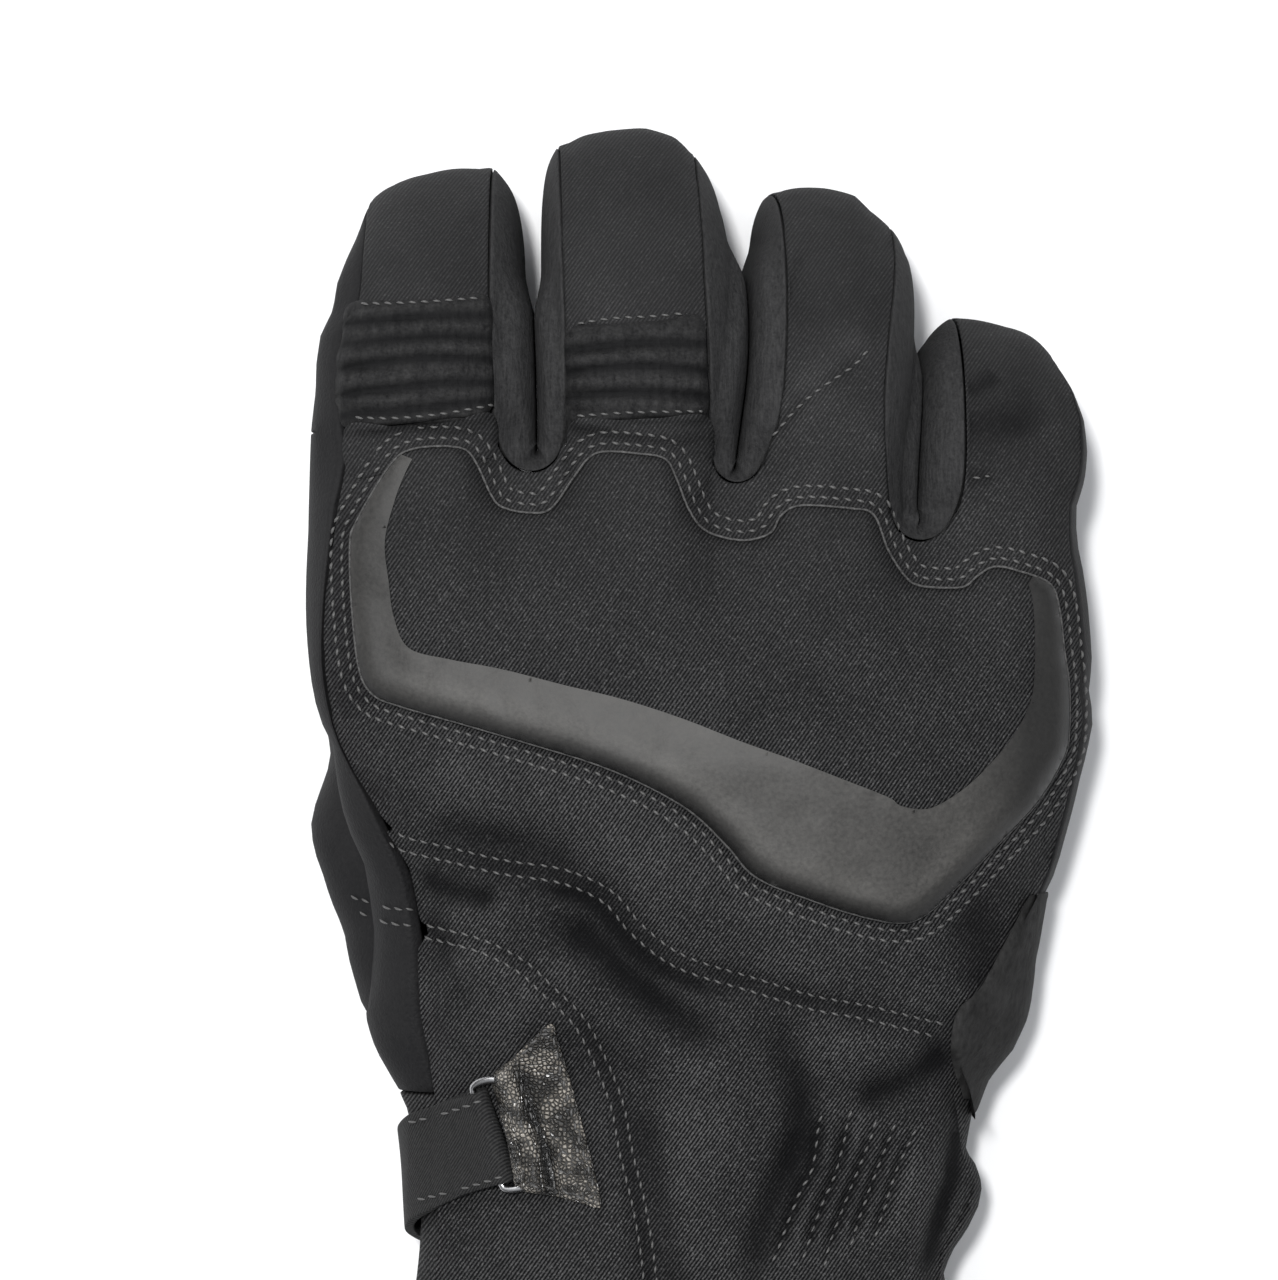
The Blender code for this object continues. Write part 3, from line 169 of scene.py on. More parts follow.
def smooth_line(points, closed=False, step=0.0005):
    """Evenly spaced points on a smooth curve through the given ones."""
    points = [Vector(point) for point in points]
    count = len(points)
    spans = count if closed else count - 1
    dense = []
    for index in range(spans):
        if closed:
            p0, p1, p2, p3 = (points[(index + shift) % count] for shift in (-1, 0, 1, 2))
        else:
            p0 = points[max(index - 1, 0)]
            p1, p2 = points[index], points[index + 1]
            p3 = points[min(index + 2, count - 1)]
        for part in range(12):
            t = part / 12
            dense.append(
                0.5 * (2 * p1 + (p2 - p0) * t + (2 * p0 - 5 * p1 + 4 * p2 - p3) * t ** 2
                       + (3 * p1 - p0 - 3 * p2 + p3) * t ** 3)
            )
    dense.append(points[0] if closed else points[-1])
    dense = np.array(dense)
    run = np.concatenate([[0], np.cumsum(np.linalg.norm(np.diff(dense, axis=0), axis=1))])
    stops = np.arange(0, run[-1], step)
    return np.stack([np.interp(stops, run, dense[:, axis]) for axis in range(dense.shape[1])], axis=1)


def photo_line(points, closed=False, step=0.0005):
    return smooth_line([photo(*point) for point in points], closed, step)


INNER_TRIM = 0.93


def beside_line(line, shift, closed=False):
    """A line that runs beside another, shift metres to its left, without the loops at tight inner turns."""
    line = np.asarray(line)
    if closed:
        way = np.roll(line, -1, axis=0) - np.roll(line, 1, axis=0)
    else:
        way = np.gradient(line, axis=0)
    way /= np.linalg.norm(way, axis=1)[:, None]
    moved = line + np.stack([-way[:, 1], way[:, 0]], axis=1) * shift
    return moved[distance_to(line, moved)[0] > abs(shift) * INNER_TRIM]


def select_only(piece):
    bpy.ops.object.select_all(action="DESELECT")
    piece.select_set(True)
    bpy.context.view_layer.objects.active = piece


# The stuffed shape differs a little from the drawn one: its sides and fingertips stand where the photograph
# shows them. LEFT_SIDE holds the row in the picture, the drawn outline and side seam there, and the real
# outline and side seam. RIGHT_SIDE holds the row, the drawn outline and how far it moves out. TIPS holds the
# column, the row of the drawn tip, how far it moves down, and the row where the finger stands still.
LEFT_SIDE = [
    (180, 380, 390, 378, 390), (235, 359, 360, 360, 363), (283, 346, 351, 339, 359),
    (310, 340, 348, 334, 357), (335, 336, 346, 322, 343), (362, 332, 344, 318, 339),
    (390, 328, 342, 317, 338), (430, 324, 348, 313, 344), (458, 322, 347, 311, 345),
    (508, 321, 347, 310, 334), (584, 318, 346, 308, 326), (655, 320, 346, 310, 321),
    (690, 325, 352, 314, 325), (720, 332, 359, 321, 331), (746, 334, 366, 332, 340),
    (775, 333, 378, 328, 357), (799, 333, 386, 318, 374), (825, 334, 393, 312, 386),
    (850, 337, 400, 315, 402), (870, 341, 403, 323, 412), (900, 348, 406, 332, 417),
    (930, 357, 409, 345, 421), (960, 368, 412, 351, 426), (1010, 385, 416, 363, 427),
    (1050, 396, 419, 378, 429), (1090, 405, 421, 400, 431), (1110, 408, 422, 409, 431),
    (1230, 404, 424, 406, 432), (1400, 404, 424, 404, 424),
]
RIGHT_SIDE = [
    (240, 905, 0), (345, 1045, 0), (360, 1052, 0), (390, 1061, 10), (420, 1067, 15), (450, 1072, 14),
    (480, 1073, 10), (510, 1071, 4), (540, 1074, 2), (570, 1076, 6), (600, 1078, 8), (660, 1082, 9),
    (690, 1082, 6), (720, 1080, 12), (780, 1071, 7), (870, 1049, 6), (900, 1050, -2), (960, 1040, -3),
    (990, 1032, 2), (1020, 1018, 9), (1050, 1002, 12), (1080, 986, 4), (1150, 962, 3), (1165, 960, 16),
    (1185, 958, 25), (1205, 956, 24), (1230, 952, 14), (1252, 951, 0), (1275, 951, -8), (1310, 951, 0),
]
TIPS = [
    (355, 207, 0, 300), (375, 207, -10, 300), (390, 198, -11, 300), (405, 193, -13, 300),
    (435, 191, -18, 300), (480, 195, -24, 300), (495, 201, -29, 300), (515, 217, -27, 300),
    (530, 240, -15, 300), (540, 200, -26, 300), (555, 174, -21, 300), (570, 160, -16, 300),
    (600, 150, -17, 300), (645, 150, -21, 300), (675, 154, -15, 300), (690, 159, -5, 300),
    (720, 212, 0, 300), (735, 250, -22, 330), (750, 235, -28, 330), (780, 214, -22, 330),
    (825, 207, -18, 330), (855, 209, -12, 330), (870, 213, -1, 330), (890, 225, 6, 330), (905, 240, 0, 330),
    (915, 340, -18, 430), (945, 335, -16, 430), (975, 332, -11, 430), (1005, 333, -5, 430),
    (1050, 357, 0, 430),
]
SEAM_REACH = 60
SIDE_REACH = 90
SIDE_EASE = 1.5
TIP_REACH = 1.1


def read_table(table, where):
    """The later columns of a table at places along its first column."""
    first, *columns = np.array(table, float).T
    return [np.interp(where, first, column) for column in columns]


def settle(places):
    """Move positions of the drawn shape to where the picture shows the stuffed one."""
    far = (CAMERA_HEIGHT - places[:, 2]) / (CAMERA_HEIGHT - SCALE_HEIGHT)
    middle = photo(*PICTURE_MIDDLE)
    across = PICTURE_MIDDLE[0] + (places[:, 0] - middle.x) / PIXEL / far
    down = PICTURE_MIDDLE[1] - (places[:, 1] - middle.y) / PIXEL / far
    drawn_edge, drawn_seam, edge, seam = read_table(LEFT_SIDE, down)
    fixed = np.maximum(drawn_seam, seam) + SEAM_REACH
    to_seam = edge + (across - drawn_edge) * (seam - edge) / (drawn_seam - drawn_edge)
    to_fixed = seam + (across - drawn_seam) * (fixed - seam) / (fixed - drawn_seam)
    moved = np.where(across < drawn_seam, to_seam, np.where(across < fixed, to_fixed, across))
    moved = np.where(across < drawn_edge, across + edge - drawn_edge, moved)
    drawn_edge, shift = read_table(RIGHT_SIDE, down)
    moved += shift * np.clip(1 - (drawn_edge - across) / SIDE_REACH, 0, 1) ** SIDE_EASE
    top, lift, root = read_table(TIPS, across)
    raised = down + lift * np.clip((root - down) / (root - top), 0, TIP_REACH)
    settled = places.copy()
    settled[:, 0] += (moved - across) * PIXEL * far
    settled[:, 1] -= (raised - down) * PIXEL * far
    return settled


WELD_GAP = 0.0011
SHARP_TURN = 0.95


def sewn_panel(node, material, levels, rim=0.55, others=()):
    """A panel on the place of a CAD node, with its rim turned in and its faces smoothed.

    The cloth of the other nodes runs on from it without a seam.
    """
    parts = []
    for part in (node, *others):
        piece = bpy.data.objects.new(part + "_panel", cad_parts[part].data.copy())
        bpy.context.scene.collection.objects.link(piece)
        select_only(piece)
        bpy.ops.object.mode_set(mode="EDIT")
        bpy.ops.mesh.select_all(action="SELECT")
        bpy.ops.mesh.remove_doubles(threshold=1e-6)
        bpy.ops.mesh.tris_convert_to_quads(face_threshold=0.9, shape_threshold=1.2)
        bpy.ops.mesh.normals_make_consistent(inside=False)
        bpy.ops.object.mode_set(mode="OBJECT")
        parts.append(piece)
    piece = parts[0]
    for part in parts:
        part.select_set(True)
    bpy.context.view_layer.objects.active = piece
    if others:
        bpy.ops.object.join()
    shape = bmesh.new()
    shape.from_mesh(piece.data)
    if others:
        bmesh.ops.remove_doubles(shape, verts=shape.verts[:], dist=WELD_GAP)
        hidden = [face for face in shape.faces if all(len(edge.link_faces) > 2 for edge in face.edges)]
        bmesh.ops.delete(shape, geom=hidden, context="FACES")
    creases = shape.edges.layers.float.new("crease_edge")
    for edge in shape.edges:
        if len(edge.link_faces) == 2 and edge.calc_face_angle() > SHARP_TURN:
            edge[creases] = rim
    shape.to_mesh(piece.data)
    shape.free()
    smoother = piece.modifiers.new("smoother", "SUBSURF")
    smoother.levels = levels
    smoother.render_levels = levels
    bpy.ops.object.modifier_apply(modifier="smoother")
    bpy.ops.object.shade_smooth()
    put_corners(piece, settle(corners_of(piece)[0]))
    piece.data.materials.clear()
    piece.data.materials.append(material)
    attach(piece, "root")
    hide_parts(node, *others)
    return piece


def corners_of(piece):
    """Positions and normals of a piece's vertices."""
    count = len(piece.data.vertices)
    places = np.empty(count * 3, np.float32)
    piece.data.vertices.foreach_get("co", places)
    normals = np.empty(count * 3, np.float32)
    piece.data.vertex_normals.foreach_get("vector", normals)
    return places.reshape(-1, 3).astype(float), normals.reshape(-1, 3).astype(float)


def put_corners(piece, places):
    piece.data.vertices.foreach_set("co", places.astype(np.float32).ravel())
    piece.data.update()


def distance_to(line, plan):
    """Distance of each plan position to a line of close points, and how far along the line it is."""
    best = np.full(len(plan), 1.0)
    where = np.zeros(len(plan))
    for start in range(0, len(plan), 4000):
        block = plan[start:start + 4000]
        gaps = np.linalg.norm(block[:, None, :] - line[None, :, :], axis=2)
        nearest = gaps.argmin(axis=1)
        best[start:start + 4000] = gaps[np.arange(len(block)), nearest]
        where[start:start + 4000] = nearest / (len(line) - 1)
    return best, where


def fade(where, speed):
    """1 along a line and 0 at its two ends."""
    return np.clip(np.minimum(where, 1 - where) * speed, 0, 1)


def mark_painted_shades(piece, painted_shades):
    """Note on each vertex the shade painted into its colour, as in a fold: below 0 a painted highlight."""
    layer = piece.data.attributes.new("painted_shade", "FLOAT", "POINT")
    layer.data.foreach_set("value", np.clip(painted_shades, -0.35, 1).astype(np.float32))


FOLD_DEPTH = 0.0014
WRINKLE = 0.009


def pull_cloth(piece, folds, ripple=0.00034, outward=(0, 0, 1), seed=0):
    """Press folds and fine wrinkles into a piece's outer face, and paint shade into its colour down in them.

    A fold is a line in the photograph, with a width and a depth in metres. A negative depth raises a ridge.
    Every fold fades out towards its ends.
    """
    places, normals = corners_of(piece)
    facing = np.clip(normals @ np.array(outward, float) * 3, 0, 1)
    depth = np.zeros(len(places))
    for points, width, deep in folds:
        line = photo_line(points)
        low = line.min(axis=0) - 3 * width
        high = line.max(axis=0) + 3 * width
        near = np.all((places[:, :2] > low) & (places[:, :2] < high), axis=1) & (facing > 0)
        if near.any():
            gap, where = distance_to(line, places[near][:, :2])
            depth[near] += deep * np.exp(-(gap / width) ** 2) * fade(where, 6)
    for index in np.nonzero(facing > 0)[0]:
        x, y, z = places[index]
        spot = Vector((x / WRINKLE + seed * 7, y / WRINKLE, z / WRINKLE))
        wrinkles = 1.5 * noise.noise(spot * 0.4) + noise.noise(spot) + 0.45 * noise.noise(spot * 2.7)
        depth[index] += ripple * wrinkles
    put_corners(piece, places - normals * (depth * facing)[:, None])
    # Shade is painted into the colour in the folds and wrinkles, and a painted highlight on the ridges.
    mark_painted_shades(piece, depth * facing / FOLD_DEPTH)


hand_back = sewn_panel(
    "hand_back", softshell, 3, others=("finger_back_ring", "finger_back_little"))
cuff_back = sewn_panel("cuff_back", softshell, 3)
wrist_panel = sewn_panel("wrist_panel", softshell, 3)
cuff_palm = sewn_panel("cuff_palm", softshell, 3)

# Folds of the back
# The cloth sinks along the slanting seams of the ring and the little finger and beside the index finger's
# side seam, rises a little past the ring finger's seam, and lies in fine wrinkles everywhere.
BACK_FOLDS = [
    ([(803, 248), (786, 288), (778, 311)], 0.0010, 0.0004),
    ([(770, 440), (798, 408), (823, 388), (852, 368), (867, 351)], 0.0012, 0.0006),
    ([(790, 400), (830, 370), (870, 330)], 0.0030, -0.0006),
    ([(965, 390), (985, 380), (1003, 368)], 0.0016, 0.0008),
    ([(950, 430), (1000, 420), (1050, 400)], 0.0040, 0.0006),
    ([(965, 479), (980, 477), (995, 475)], 0.0012, 0.0006),
    ([(355, 500), (352, 580), (352, 660), (372, 740)], 0.0030, 0.0005),
]
pull_cloth(hand_back, BACK_FOLDS)
pull_cloth(cuff_back, [], seed=1)
pull_cloth(wrist_panel, [], seed=2)
pull_cloth(cuff_palm, [], outward=(0, 0, -1), seed=4)

# Leather of the palm, the thumb and the undersides of the fingers
# Thin goat leather runs under the hand, up both of its sides and round the fingertips. It is smooth, with a
# fine grain that only shows where light grazes it.


def draw_leather(place):
    grain = place.node("TexVoronoi", {"Vector": place, "Scale": 1 / 0.0009}, feature="DISTANCE_TO_EDGE")
    pores = place.noise(0.0006, 3.0, 0.6)
    lighter_tone = place.noise(0.018, 3.0)
    tone = (lighter_tone * 0.5 + pores * 0.5).clamp(0.3, 0.75)
    colour = tone.between((0.0060, 0.0060, 0.0068), (0.021, 0.0205, 0.0208))
    return colour, 0.62 + pores * 0.22, grain.clamp(0.0, 0.25) * 0.00004 + pores * 0.00006


FINGERS = ("index", "middle", "ring", "little")
leather = finish("goat_leather_grain", draw_leather, Specular_IOR_Level=0.16)

palm = sewn_panel(
    "palm", leather, 2, others=["finger_palm_" + finger for finger in FINGERS])
pull_cloth(palm, [], ripple=0.00018, outward=(0, 0, -1), seed=5)
thumb = sewn_panel("thumb", leather, 2, 0.3)
side_leather = [sewn_panel("fingertip_" + finger, leather, 3, 0.3) for finger in FINGERS]

# Backs of the fingers
# The softshell runs over each finger to its leather tip. The index and middle fingers have a section of
# stretch cloth over the joint.


def draw_stretch(place):
    threads = place.noise(0.0005, 2.0, 0.7)
    gathers = place.stretched(1.0, 0.35, 0.35).noise(0.0011, 2.0)
    lit = (threads * 0.55 + gathers * 0.45).clamp(0.30, 0.75) * place.painted_shade_factor()
    colour = lit.between((0.0030, 0.0030, 0.0034), (0.030, 0.0295, 0.0295))
    return colour, 0.82, threads * 0.00008 + gathers * 0.00035


stretch = finish("stretch_rib_cloth", draw_stretch, Specular_IOR_Level=0.20)

finger_backs = []
for finger in ("index", "middle"):
    panel = sewn_panel("finger_back_" + finger, softshell, 3)
    pull_cloth(panel, [], ripple=0.00025, outward=(0, 0.5, 1), seed=6)
    finger_backs.append(panel)
rib_panels = [
    sewn_panel("flex_ribs_" + finger, stretch, 2, 0.4) for finger in ("index", "middle")]

# Knit strips between the fingers
# Soft knit with fine lengthwise ribs lines the facing sides of two fingers and the web between them.


def draw_knit(place):
    ribs = place.stretched(1.0, 0.16, 0.55).noise(0.00042, 2.0, 0.6)
    fuzz = place.noise(0.0005, 2.0, 0.7)
    tone = (ribs * 0.55 + fuzz * 0.45).clamp(0.22, 0.80)
    colour = tone.between((0.0080, 0.0080, 0.0086), (0.048, 0.0475, 0.0478))
    return colour, 0.88, ribs * 0.00016 + fuzz * 0.00010


knit = finish("fine_knit", draw_knit, Specular_IOR_Level=0.18)

# Two stuffed fingers press against each other below the place where their tips part: the picture row of that
# place is given for each strip.
PARTING = {"index_middle": 285, "middle_ring": 250, "ring_little": 345}
PRESSED_GAP = 0.00012
LARGEST_BULGE = 0.0018
WIDEST_GAP = 0.009
PRESS_START = 0.002
PRESS_FADE = 0.006
LEVEL_SHARE = 0.85
knit_strips = []
for pair, parting in PARTING.items():
    strip = sewn_panel("fourchette_" + pair, knit, 3)
    places, normals = corners_of(strip)
    own = BVHTree.FromPolygons(
        [Vector(place) for place in places], [tuple(face.vertices) for face in strip.data.polygons])
    bulge = np.zeros(len(places))
    for index in np.nonzero(abs(normals[:, 2]) < LEVEL_SHARE)[0]:
        place = Vector(places[index])
        way = Vector((normals[index][0], normals[index][1], 0)).normalized()
        spot = own.ray_cast(place + way * 0.0001, way, WIDEST_GAP)[0]
        closing = (GLOVE_MIDDLE[1] - parting) * PIXEL - place.y + PRESS_START
        if spot is not None and closing > 0:
            room = (spot - place).length / 2 - PRESSED_GAP
            bulge[index] = min(max(room, 0), LARGEST_BULGE) * min(closing / PRESS_FADE, 1)
    neighbours = [[] for place in places]
    for edge in strip.data.edges:
        first, second = edge.vertices
        neighbours[first].append(second)
        neighbours[second].append(first)
    for turn in range(2):
        bulge = np.array([
            min(amount, (amount + sum(bulge[other] for other in near)) / (len(near) + 1))
            for amount, near in zip(bulge, neighbours)
        ])
    level = normals * (1, 1, 0)
    level /= np.maximum(np.linalg.norm(level, axis=1), 1e-6)[:, None]
    put_corners(strip, places + level * bulge[:, None])
    knit_strips.append(strip)

# Rolls of the ribbed sections
# Each ribbed section is gathered on elastic: soft rolls stand between valleys, with shade painted into the
# valleys and a thin painted highlight along the top of each roll. They are laid over the plain stretch
# cloth, as every later layer is laid over what it covers.
def land(x, y, spread):
    """The highest point of the pieces laid so far under and round a plan position, and the normal there."""
    best = None
    for across, ahead in ((0, 0), (spread, 0), (-spread, 0), (0, spread), (0, -spread)):
        start = Vector((x + across, y + ahead, 0.2))
        for tree in hand_trees:
            spot, normal, face, distance = tree.ray_cast(start, Vector((0, 0, -1)))
            if spot is not None and (best is None or spot.z > best[0].z + 1e-5):
                best = (spot, normal)
    if best is None:
        return None
    return Vector((x, y, best[0].z)), best[1]


def tree_of(piece):
    places = [vertex.co.copy() for vertex in piece.data.vertices]
    return BVHTree.FromPolygons(places, [tuple(face.vertices) for face in piece.data.polygons])


hand = [hand_back, cuff_back, wrist_panel, palm, thumb]
hand_trees = [tree_of(piece) for piece in hand + side_leather + finger_backs + rib_panels + knit_strips]


def inside_of(line, plan):
    """Whether each plan position is inside a closed line."""
    result = np.zeros(len(plan), bool)
    for (x0, y0), (x1, y1) in zip(line, np.roll(line, -1, axis=0)):
        crossing = (y0 > plan[:, 1]) != (y1 > plan[:, 1])
        with np.errstate(divide="ignore", invalid="ignore"):
            at = x0 + (plan[:, 1] - y0) / (y1 - y0) * (x1 - x0)
        result ^= crossing & (plan[:, 0] < at)
    return result


def even(distance, reach):
    """A rounded rise from 0 at the rim to 1 at reach."""
    return np.sqrt(1 - (1 - np.clip(distance / reach, 0, 1)) ** 2)


RIM_SHARE = 0.45
LAYER_DEPTH = 0.0002


def draped_patch(name, rim, spacing, height, material):
    """A closed layer over the hand inside a rim: a grid is cut to the rim, lifted, and closed below.

    height gives the lift of the top face and the shade painted into its colour, below 0 a painted highlight,
    at plan positions with their distances to the rim.
    """
    low = rim.min(axis=0) - spacing
    high = rim.max(axis=0) + spacing
    size = high - low
    counts = np.ceil(size / spacing).astype(int)
    bpy.ops.object.select_all(action="DESELECT")
    bpy.ops.mesh.primitive_grid_add(x_subdivisions=int(counts[0]), y_subdivisions=int(counts[1]), size=1)
    piece = bpy.context.object
    piece.name = name
    places = corners_of(piece)[0]
    places[:, :2] = (places[:, :2] + 0.5) * size + low
    inside = inside_of(rim, places[:, :2])
    inside &= distance_to(rim, places[:, :2])[0] > spacing * RIM_SHARE
    shape = bmesh.new()
    shape.from_mesh(piece.data)
    shape.verts.ensure_lookup_table()
    for vertex, place in zip(shape.verts, places):
        vertex.co = place
    bmesh.ops.delete(shape, geom=[shape.verts[i] for i in np.nonzero(~inside)[0]], context="VERTS")
    thin = [vertex for vertex in shape.verts if len(vertex.link_faces) == 0]
    bmesh.ops.delete(shape, geom=thin, context="VERTS")
    edge = [side for side in shape.edges if side.is_boundary]
    made = bmesh.ops.extrude_edge_only(shape, edges=edge)
    outer = [item for item in made["geom"] if isinstance(item, bmesh.types.BMVert)]
    for vertex in outer:
        gaps = np.linalg.norm(rim - np.array(vertex.co[:2]), axis=1)
        vertex.co.x, vertex.co.y = rim[gaps.argmin()]
    bmesh.ops.remove_doubles(shape, verts=outer, dist=spacing * 0.02)
    shape.to_mesh(piece.data)
    shape.free()
    places = corners_of(piece)[0]
    lifts, painted_shades = height(places[:, :2], distance_to(rim, places[:, :2])[0])
    # Where nothing lies below, as past the end of the cuff, the floor runs on level.
    found = [land(x, y, 0.0008) for x, y, z in places]
    floors = np.array([spot[0].z if spot else np.nan for spot in found])
    for index in np.nonzero(np.isnan(floors))[0]:
        gaps = np.linalg.norm(places[:, :2] - places[index, :2], axis=1)
        gaps[np.isnan(floors)] = 1.0
        floors[index] = floors[gaps.argmin()]
    top = places.copy()
    top[:, 2] = floors + lifts
    put_corners(piece, top)
    shape = bmesh.new()
    shape.from_mesh(piece.data)
    tops = shape.verts[:]
    faces = shape.faces[:]
    sides = [tuple(side.verts) for side in shape.edges if side.is_boundary]
    for side in shape.edges:
        side.smooth = not side.is_boundary
    unders = {}
    for vertex, floor in zip(tops, floors):
        unders[vertex] = shape.verts.new((vertex.co.x, vertex.co.y, floor - LAYER_DEPTH))
    for face in faces:
        shape.faces.new([unders[vertex] for vertex in reversed(face.verts)])
    for start, end in sides:
        shape.faces.new([start, end, unders[end], unders[start]])
    bmesh.ops.recalc_face_normals(shape, faces=shape.faces[:])
    shape.to_mesh(piece.data)
    shape.free()
    mark_painted_shades(piece, np.concatenate([painted_shades, np.zeros(len(painted_shades))]))
    select_only(piece)
    bpy.ops.object.shade_smooth()
    piece.data.materials.append(material)
    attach(piece, "root")
    return piece


ROLL_RIMS = {
    "index": [
        (350, 305), (400, 303), (450, 301), (489, 299), (493, 350), (492, 412), (450, 421), (400, 427),
        (347, 429), (342, 390), (344, 345),
    ],
    "middle": [
        (570, 333), (620, 327), (660, 324), (700, 320), (706, 370), (704, 418), (660, 421), (620, 423),
        (572, 424), (567, 380),
    ],
}
ROLL_VALLEYS = {
    "index": [
        [(330, 328), (400, 321), (450, 318), (505, 319)], [(330, 350), (400, 342), (450, 339), (505, 341)],
        [(330, 373), (400, 364), (450, 361), (505, 364)], [(330, 399), (400, 391), (450, 386), (505, 386)],
        [(330, 419), (400, 414), (450, 408), (505, 402)],
    ],
    "middle": [
        [(555, 356), (610, 349), (660, 346), (720, 348)], [(555, 377), (610, 371), (660, 370), (720, 376)],
        [(555, 401), (610, 396), (660, 396), (720, 401)],
    ],
}
ROLL_HALF = 0.0017


def ripples(plan, across, ahead, layer):
    """Soft uneven waves between -1 and 1 at plan positions, of a given size across and along the hand."""
    return np.array([noise.noise(Vector((x / across, y / ahead, layer))) for x, y in plan])


def roll_height(plan, gap):
    nearest = np.full(len(plan), 1.0)
    for line in valley_lines:
        nearest = np.minimum(nearest, distance_to(line, plan)[0])
    soft = ripples(plan, 0.0014, 0.0060, 5)
    lift = 0.0002 + 0.0010 * even(nearest, ROLL_HALF) * (1 + 0.25 * soft) * even(gap, 0.0010)
    lighter_tone = 0.45 * np.exp(-((nearest - ROLL_HALF) / 0.0003) ** 2)
    # The second value paints shade into each valley and a thin painted highlight along the top of each roll.
    return lift, 0.95 * np.exp(-(nearest / 0.0008) ** 2) + 0.10 - lighter_tone * (0.8 + soft)


for finger, rim in ROLL_RIMS.items():
    valley_lines = [photo_line(valley) for valley in ROLL_VALLEYS[finger]]
    line = photo_line(rim, closed=True, step=0.0004)
    rolls = draped_patch("rib_rolls_" + finger, line, 0.0004, roll_height, stretch)
    hand_trees.append(tree_of(rolls))

# Laps below the ribbed sections
# The back's cloth laps over the lower end of each ribbed section, where a row of stitches holds it.
LAPS = {
    "index": [
        (349, 428), (400, 429), (450, 425), (494, 416), (496, 456), (465, 460), (417, 458), (390, 474),
        (352, 476),
    ],
    "middle": [
        (572, 424), (620, 423), (660, 421), (708, 420), (711, 470), (696, 498), (684, 492), (664, 468),
        (637, 462), (605, 460), (588, 468), (577, 482), (570, 470),
    ],
}


def lap_height(plan, gap):
    return 0.00008 + 0.00028 * even(gap, 0.0008), 0 * gap


for finger, rim in LAPS.items():
    line = photo_line(rim, closed=True, step=0.0004)
    lap = draped_patch("rib_lap_" + finger, line, 0.0006, lap_height, softshell)
    hand_trees.append(tree_of(lap))

# Cloth of the wrist and the cuff
# It lies over the fleece in long soft folds and sinks along each seam. Elastic under the outer side draws it
# into slanting tucks with a pucker at every stitch, and the strap holds it down.
WRIST_RIM = [
    (384, 698), (402, 698), (476, 719), (534, 736), (593, 754), (637, 772), (675, 792), (700, 810),
    (728, 838), (756, 868), (812, 891), (854, 905), (893, 913), (915, 908), (946, 880), (988, 838),
    (1030, 794), (1052, 795), (1048, 824), (1036, 875), (1030, 908), (1024, 942), (1012, 984), (1002, 1012),
    (986, 1040), (968, 1066), (956, 1090), (960, 1121), (964, 1150), (969, 1175), (969, 1200), (957, 1235),
    (943, 1262), (943, 1300), (950, 1400), (962, 1500), (982, 1600), (1004, 1700), (1012, 1736),
    (388, 1736), (392, 1700), (404, 1600), (416, 1480), (424, 1400), (432, 1300), (437, 1215), (437, 1090),
    (434, 1048), (431, 960), (423, 904), (419, 872), (396, 835), (384, 800), (358, 765), (346, 740),
    (350, 715),
]
UPPER_WRIST_SEAM = [
    (392, 836), (403, 843), (447, 853), (505, 866), (564, 875), (608, 895), (637, 928), (681, 960),
    (756, 984), (812, 1001), (868, 1012), (944, 1032),
]
LOWER_WRIST_SEAM = [
    (423, 931), (476, 942), (520, 963), (549, 989), (579, 1019), (599, 1057), (617, 1104), (626, 1151),
    (640, 1210), (650, 1280), (655, 1400), (658, 1560),
]
TUCKS = [
    [(822, 1112), (818, 1127), (813, 1167), (799, 1194), (782, 1238), (772, 1262)],
    [(852, 1108), (849, 1117), (838, 1167), (822, 1205), (807, 1247), (800, 1268)],
    [(876, 1118), (872, 1136), (857, 1175), (845, 1205), (830, 1244), (824, 1268)],
    [(896, 1122), (891, 1136), (876, 1175), (862, 1213), (850, 1250)],
    [(918, 1128), (899, 1167), (884, 1213), (872, 1248)],
]
OUTER_VALLEY = [(962, 1090), (964, 1128), (957, 1150), (953, 1182), (944, 1208), (934, 1249), (925, 1290)]
